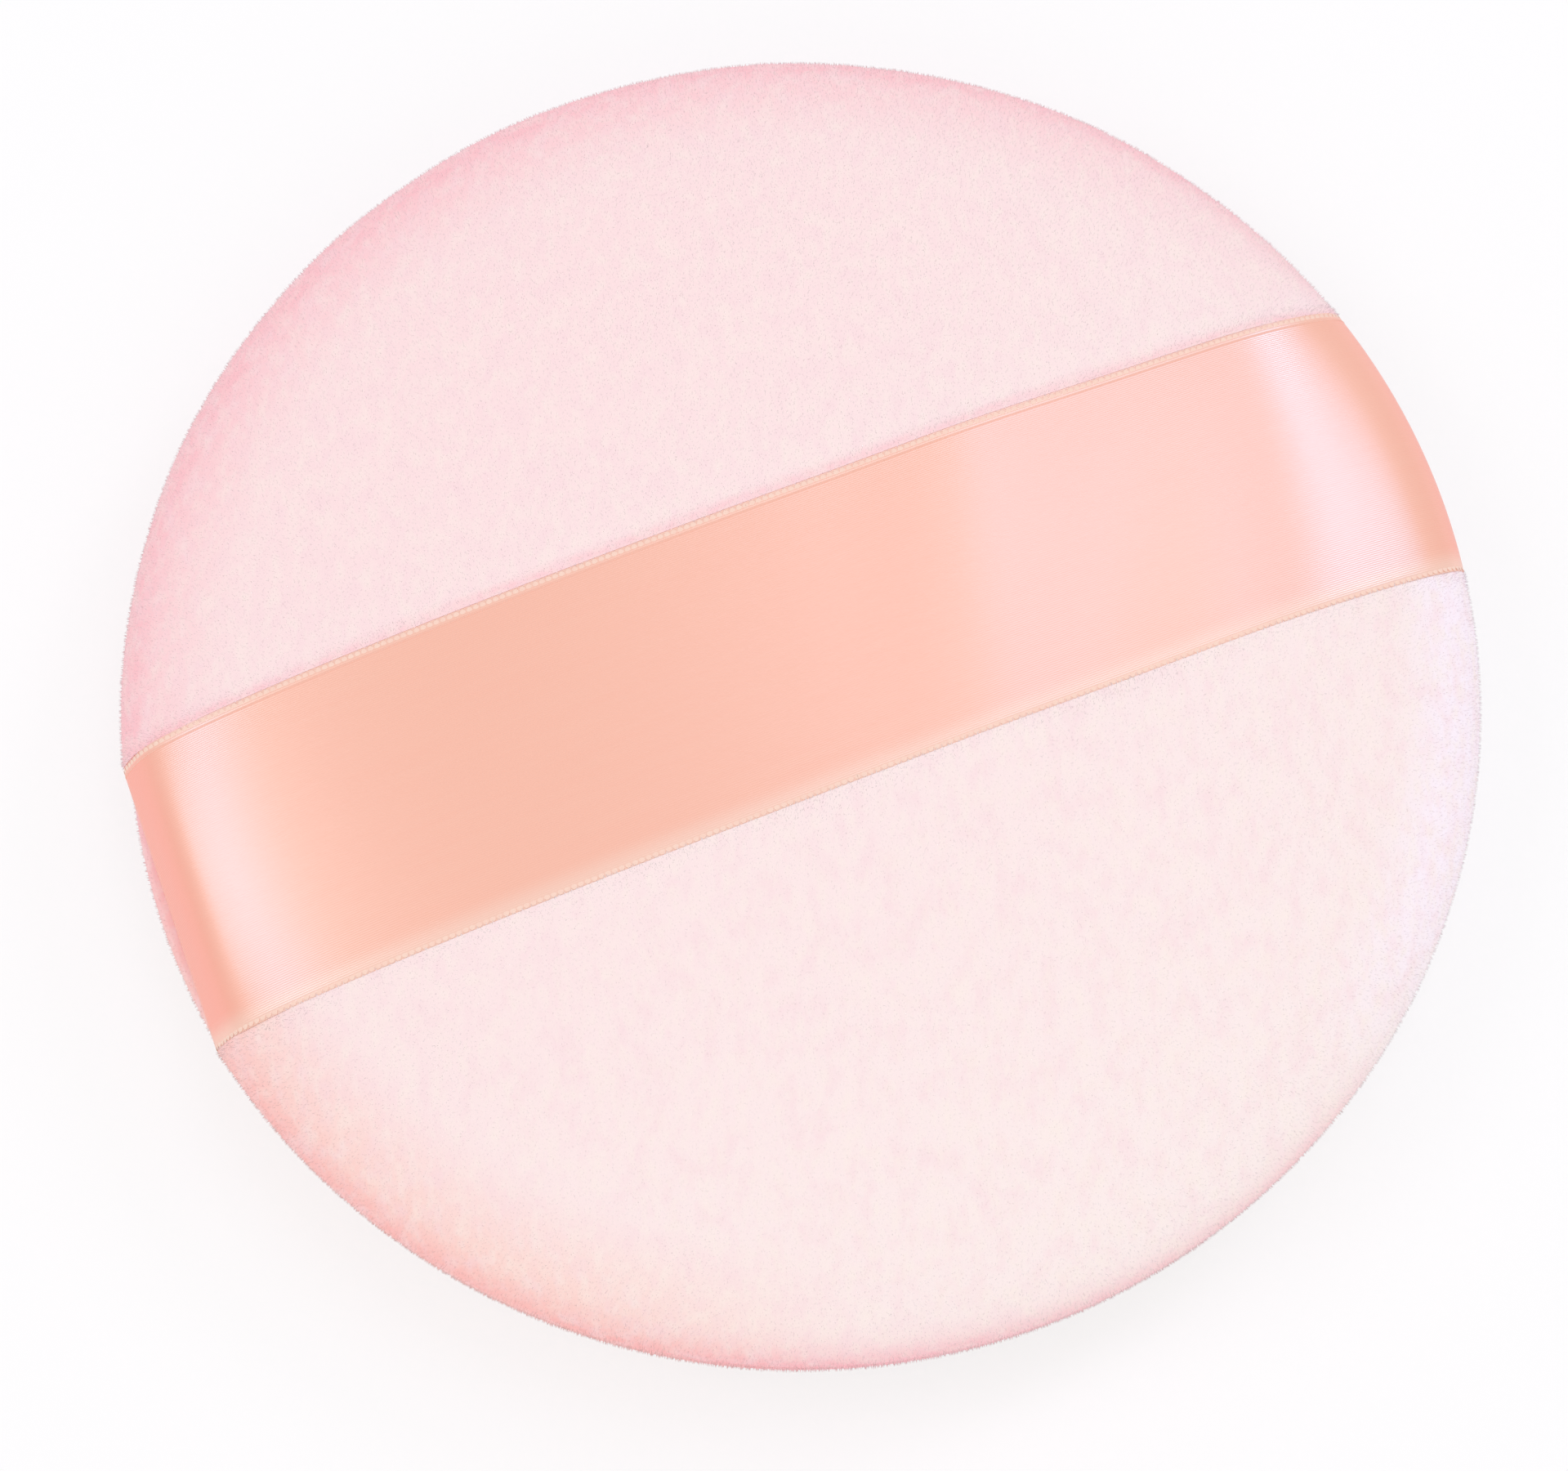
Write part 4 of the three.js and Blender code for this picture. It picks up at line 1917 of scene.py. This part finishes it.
    def edge_line(self, side: int, inset: float, lift: float) -> np.ndarray:
        """Points along one woven edge.

        Args:
            side: 1 for the edge at +Y and -1 for the other.
            inset: Distance in from the very edge.
            lift: Height over the ribbon's face.

        Returns:
            Rows of places, from the middle to the sewn end.
        """
        face = self.grid(self.sizes.ribbon_thickness + lift)
        place = (self.sizes.ribbon_half_width - inset) * side
        column = np.interp(place, self.columns(), np.arange(self.across + 1))
        low = min(int(math.floor(column)), self.across - 1)
        part = column - low
        return face[:, low] * (1 - part) + face[:, low + 1] * part

    def edge_tree(self, loops: SelvedgeFinish, cords: SelvedgeFinish) -> Growth:
        """Builds the node tree that sets weft loops along some edge lines and cords along the others.

        Args:
            loops: Finish of the loops.
            cords: Finish of the cords.

        Returns:
            The tree.
        """
        name = f"woven_edge_{self.end.label}"
        growth = Growth(name, Pitch="Float", Loop="Vector", Slant="Float", Cord="Float")
        is_cord = growth.math("GREATER_THAN", growth.value("cord"), 0.5)
        feeds = {"Geometry": growth.inputs["Geometry"], "Selection": is_cord}
        parts = growth.add("GeometryNodeSeparateGeometry", feeds, domain="POINT").outputs
        cord = growth.bar(growth.curve(parts["Selection"]), growth.inputs["Cord"])
        woven = self.loop_nodes(growth, growth.curve(parts["Inverted"]))
        dressed = (growth.smooth(growth.dressed(cord, cords)), growth.dressed(woven, loops))
        return growth.end(growth.joined(dressed))

    def loop_nodes(self, growth: Growth, curve: Socket) -> Socket:
        """Nodes that set weft loops at an even pitch along curves.

        Args:
            growth: Where the nodes go.
            curve: Socket with the curves.

        Returns:
            Socket with the loops.
        """
        inputs = growth.inputs
        feeds = {"Curve": curve, "Length": inputs["Pitch"]}
        even = growth.add("GeometryNodeCurveToPoints", feeds, mode="LENGTH").outputs
        feeds = {"Radius": 0.5, "Segments": self.bead_segments, "Rings": self.bead_rings}
        loop = growth.add("GeometryNodeMeshUVSphere", feeds).outputs["Mesh"]
        along = growth.add("FunctionNodeAlignRotationToVector", {"Vector": even["Tangent"]}, axis="X")
        feeds = {"Axis": (0.0, 0.0, 1.0), "Angle": inputs["Slant"]}
        turn = growth.add("FunctionNodeAxisAngleToRotation", feeds)
        feeds = {"Rotation": along.outputs[0], "Rotate By": turn.outputs[0]}
        slanted = growth.add("FunctionNodeRotateRotation", feeds, rotation_space="LOCAL").outputs[0]
        feeds = {"Points": even["Points"], "Instance": loop, "Rotation": slanted, "Scale": inputs["Loop"]}
        return growth.add("GeometryNodeInstanceOnPoints", feeds).outputs[0]

    def woven_edges(self, loops: SelvedgeFinish, cords: SelvedgeFinish) -> bpy.types.Object:
        """Makes both woven edges of this half.

        Args:
            loops: Finish of the weft loops.
            cords: Finish of the cord beside them.

        Returns:
            The edges as one piece.
        """
        rows = ((1, self.bead_inset, 0.0), (1, self.cord_inset, 1.0), (-1, self.low_bead_inset, 0.0))
        sunk = -self.cord_sink * self.cord_radius
        lines = [self.edge_line(side, inset, sunk * cord) for side, inset, cord in rows]
        count = self.steps + 1
        edges = [(k, k + 1) for k in range(len(rows) * count - 1) if (k + 1) % count]
        ground = link_mesh("edge_lines", np.concatenate(lines), [], edges)
        set_point_values(ground.data, cord=np.repeat([cord for _, _, cord in rows], count))
        values = {
            "Pitch": self.bead_pitch,
            "Loop": self.bead,
            "Slant": self.bead_slant * self.end.value,
            "Cord": self.cord_radius,
        }
        return self.edge_tree(loops, cords).grow(ground, f"ribbon_edge_{self.end.label}", values)

    def build(
        self, satin: SatinFinish, loops: SelvedgeFinish, cords: SelvedgeFinish
    ) -> tuple[bpy.types.Object, bpy.types.Object]:
        """Makes and dresses this half and its woven edges.

        Args:
            satin: Finish of the face.
            loops: Finish of the woven edges' loops.
            cords: Finish of the cord beside them.

        Returns:
            The ribbon half and its woven edges.
        """
        ribbon = self.band(satin)
        edges = self.woven_edges(loops, cords)
        for piece in (ribbon, edges):
            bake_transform(piece)
        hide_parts(f"ribbon_end_{self.end.label}", "ribbon_band")
        self.length()
        return ribbon, edges


@dataclass
class RimThreads:
    """The seam thread inside the rim and the closing stitches in its groove."""

    sizes: PadSizes
    frame: dict
    stitches: int = 12
    thread_radius: float = 0.2 * MM
    ply_share: float = 0.52
    twist_pitch: float = 0.9 * MM
    tuck: float = 1.2 * MM
    slack: float = 2.0
    step: float = 0.09 * MM

    def route(self) -> np.ndarray:
        """Corners of the closing stitches, from one turned edge of the groove to the other.

        Returns:
            Rows of places in the frame.
        """
        low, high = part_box("closing_thread")
        radius = high[1] - self.thread_radius
        span = 2 * math.asin(high[0] / high[1])
        crossing = self.slack * max((high[2] - low[2]) / 2 - self.thread_radius, 0.0)
        count = np.arange(self.stitches + 1)
        angle = QUARTER_TURN + span * (count / self.stitches - 0.5)
        height = self.sizes.seam_z + crossing * np.where(count % 2 == 0, 1.0, -1.0)
        corners = np.stack([radius * np.cos(angle), radius * np.sin(angle), height], axis=1)
        tucked = corners[[0, -1]] * np.array([1.0, 1.0 - self.tuck / radius, 1.0])
        tucked[:, 2] = self.sizes.seam_z
        return np.concatenate([tucked[:1], corners, tucked[1:]])

    def tree(self, thread: ThreadFinish) -> Growth:
        """Builds the node tree that lays two twisted plies along a line.

        Args:
            thread: Finish of the plies.

        Returns:
            The tree.
        """
        growth = Growth("twisted_thread", Radius="Float", Pitch="Float", Step="Float")
        inputs = growth.inputs
        feeds = {"Curve": growth.curve(inputs["Geometry"]), "Length": inputs["Step"]}
        even = growth.add("GeometryNodeResampleCurve", feeds, mode="LENGTH").outputs[0]
        ply_radius = growth.math("MULTIPLY", inputs["Radius"], self.ply_share)
        plies = []
        for phase in (0.0, math.pi):
            feeds = {"Geometry": even, "Offset": self.twist(growth, phase)}
            plies.append(growth.bar(growth.add("GeometryNodeSetPosition", feeds).outputs[0], ply_radius))
        return growth.end(growth.dressed(growth.smooth(growth.joined(plies)), thread))

    def twist(self, growth: Growth, phase: float) -> Socket:
        """Offset of one ply from the thread's own line.

        Args:
            growth: Where the nodes go.
            phase: Where the ply starts around the thread.

        Returns:
            The offset's socket.
        """
        along = growth.add("GeometryNodeSplineParameter").outputs["Length"]
        turns = growth.math("MULTIPLY", growth.math("DIVIDE", along, growth.inputs["Pitch"]), FULL_TURN)
        angle = growth.math("ADD", turns, phase)
        normal = growth.add("GeometryNodeInputNormal").outputs[0]
        tangent = growth.add("GeometryNodeInputTangent").outputs[0]
        across = growth.vector_math("CROSS_PRODUCT", tangent, normal)
        reach = growth.math("MULTIPLY", growth.inputs["Radius"], 1.0 - self.ply_share)
        first = growth.scaled(normal, growth.math("MULTIPLY", reach, growth.math("COSINE", angle)))
        second = growth.scaled(across, growth.math("MULTIPLY", reach, growth.math("SINE", angle)))
        return growth.vector_math("ADD", first, second)

    def build(self, thread: ThreadFinish) -> bpy.types.Object:
        """Makes the closing stitches and dresses the seam thread.

        Args:
            thread: Finish of both threads.

        Returns:
            The closing stitches.
        """
        corners = self.route()
        edges = [(k, k + 1) for k in range(len(corners) - 1)]
        line = link_mesh("closing_line", corners, [], edges)
        values = {"Radius": self.thread_radius, "Pitch": self.twist_pitch, "Step": self.step}
        stitches = self.tree(thread).grow(line, "closing_stitches", values)
        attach(stitches, PAD_BODY)
        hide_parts("closing_thread")
        thread.put_on(self.frame["nodes"]["seam_thread"])
        return stitches


@dataclass(frozen=True)
class Lamp:
    """Soft square lamp."""

    name: str
    place: Place
    size: float
    watts: float
    colour: Colour

    def hang(self, aim: Vector) -> None:
        """Hangs the lamp.

        Args:
            aim: Place that it faces.
        """
        light = bpy.data.lights.new(self.name, "AREA")
        light.shape = "SQUARE"
        light.size = self.size
        light.energy = self.watts
        light.color = self.colour
        obj = link_object(self.name, light)
        obj.location = self.place
        obj.rotation_euler = (aim - obj.location).to_track_quat("-Z", "Y").to_euler()


@dataclass
class Studio:
    """Floor, lights and camera."""

    sizes: PadSizes
    azimuth: float = math.radians(-21.48)
    elevation: float = math.radians(72.9)
    distance: float = 0.185
    focal_pixels_per_mm: float = 18.33
    image_size: tuple[int, int] = (1919, 1800)
    pad_centre_pixel: Span = (979.7, 828.3)
    sensor: float = 36.0
    nearest: float = 0.005
    floor_reach: float = 30.0
    floor_colour: Colour = (0.98, 0.98, 0.98)
    floor_roughness: float = 0.9
    floor_specular: float = 0.1
    floor_white: float = 0.6
    sky_colour: Colour = (1.0, 1.0, 1.0)
    sky_strength: float = 0.75
    lamps: tuple[Lamp, ...] = (
        Lamp("shoulder", (0.46, 0.16, 0.41), 0.15, 0.36, (0.90, 0.82, 1.0)),
        Lamp("top", (0.20, 0.17, 0.58), 0.26, 0.36, (0.90, 0.82, 1.0)),
        Lamp("crease", (-0.38, 0.16, 0.48), 0.28, 0.46, (1.0, 0.92, 1.0)),
        Lamp("fill", (-0.12, -0.55, 0.36), 0.50, 0.55, (1.0, 0.99, 0.97)),
    )

    def camera(self, aim: Vector) -> None:
        """Sets the camera at the photograph's angle and framing.

        Args:
            aim: Place that it looks at.
        """
        data = bpy.data.cameras.new("camera")
        width, height = self.image_size
        data.sensor_fit = "HORIZONTAL"
        data.sensor_width = self.sensor
        data.lens = self.focal_pixels_per_mm * self.distance / MM * self.sensor / width
        data.clip_start = self.nearest
        data.shift_x = -(self.pad_centre_pixel[0] - width / 2) / width
        data.shift_y = (self.pad_centre_pixel[1] - height / 2) / width
        right = Vector((math.cos(self.azimuth), math.sin(self.azimuth), 0.0))
        flat = Vector((right.y, -right.x, 0.0)) * math.cos(self.elevation)
        back = flat + Vector((0.0, 0.0, math.sin(self.elevation)))
        turn = Matrix((right, back.cross(right), back)).transposed().to_4x4()
        obj = link_object("camera", data)
        obj.matrix_world = Matrix.Translation(aim + back * self.distance) @ turn
        bpy.context.scene.camera = obj

    def floor(self) -> None:
        """Lays a plain pale floor, lifted towards white where it is seen, with a part of its shadow kept."""
        corners = np.array([(-1.0, -1.0, 0.0), (1.0, -1.0, 0.0), (1.0, 1.0, 0.0), (-1.0, 1.0, 0.0)])
        obj = link_mesh("floor", self.floor_reach * corners, [(0, 1, 2, 3)])
        paint = Paint("floor_pale")
        feeds = {"Roughness": self.floor_roughness, "Specular IOR Level": self.floor_specular}
        paint.feed(paint.shader, {"Base Color": self.floor_colour, **feeds})
        rays = paint.add("ShaderNodeLightPath").outputs
        seen = paint.math("ADD", rays["Is Camera Ray"], rays["Is Glossy Ray"])
        seen = paint.math("ADD", seen, rays["Is Transmission Ray"])
        white = paint.add("ShaderNodeEmission").outputs[0]
        feeds = {0: paint.math("MULTIPLY", seen, self.floor_white), 1: paint.shader.outputs[0], 2: white}
        mixed = paint.add("ShaderNodeMixShader", feeds).outputs[0]
        paint.feed(paint.found("OUTPUT_MATERIAL"), {"Surface": mixed})
        obj.data.materials.append(paint.material)

    def sky(self) -> None:
        """Lights the studio evenly from all around."""
        world = bpy.data.worlds.new("studio")
        world.use_nodes = True
        background = world.node_tree.nodes["Background"]
        background.inputs["Color"].default_value = (*self.sky_colour, 1.0)
        background.inputs["Strength"].default_value = self.sky_strength
        bpy.context.scene.world = world
        bpy.context.scene.view_settings.view_transform = "Standard"

    def build(self) -> None:
        """Sets the whole studio."""
        aim = Vector((0, 0, self.sizes.seam_z))
        self.camera(aim)
        self.floor()
        for lamp in self.lamps:
            lamp.hang(aim)
        self.sky()


def report(piece: bpy.types.Object) -> None:
    """Logs a finished piece with its triangle count."""
    piece.data.calc_loop_triangles()
    LOG.info("%s: %d triangles", piece.name, len(piece.data.loop_triangles))


def main() -> None:
    """Builds the puff and its studio around the frame."""
    logging.basicConfig(level=logging.INFO, format="%(name)s %(message)s")
    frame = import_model()
    sizes = PadSizes.from_frame()
    velour, satin, loops = VelourFinish(), SatinFinish(), SelvedgeFinish()
    # the pile's rim colour carries the same painted shade as the cover's
    standing = VelourFinish("velour_pile", crown=(0.98, 0.93, 0.905), rim=(1.0, 0.54, 0.583))
    cords = SelvedgeFinish("selvedge_cord", yarn=(0.96, 0.56, 0.44), deep=(0.95, 0.51, 0.39))
    Studio(sizes).build()
    for face in Face:
        cover, surface = VelourFace(sizes, face).build(velour)
        report(cover)
        for zone in PileZone:
            report(VelourPile(sizes, face, zone).grow(surface, standing))
        bpy.data.objects.remove(surface)
    report(FoamCore(sizes).build(FoamFinish()))
    for end in End:
        for piece in RibbonStrap(sizes, end).build(satin, loops, cords):
            report(piece)
    report(RimThreads(sizes, frame).build(ThreadFinish()))


if __name__ == "__main__":
    main()
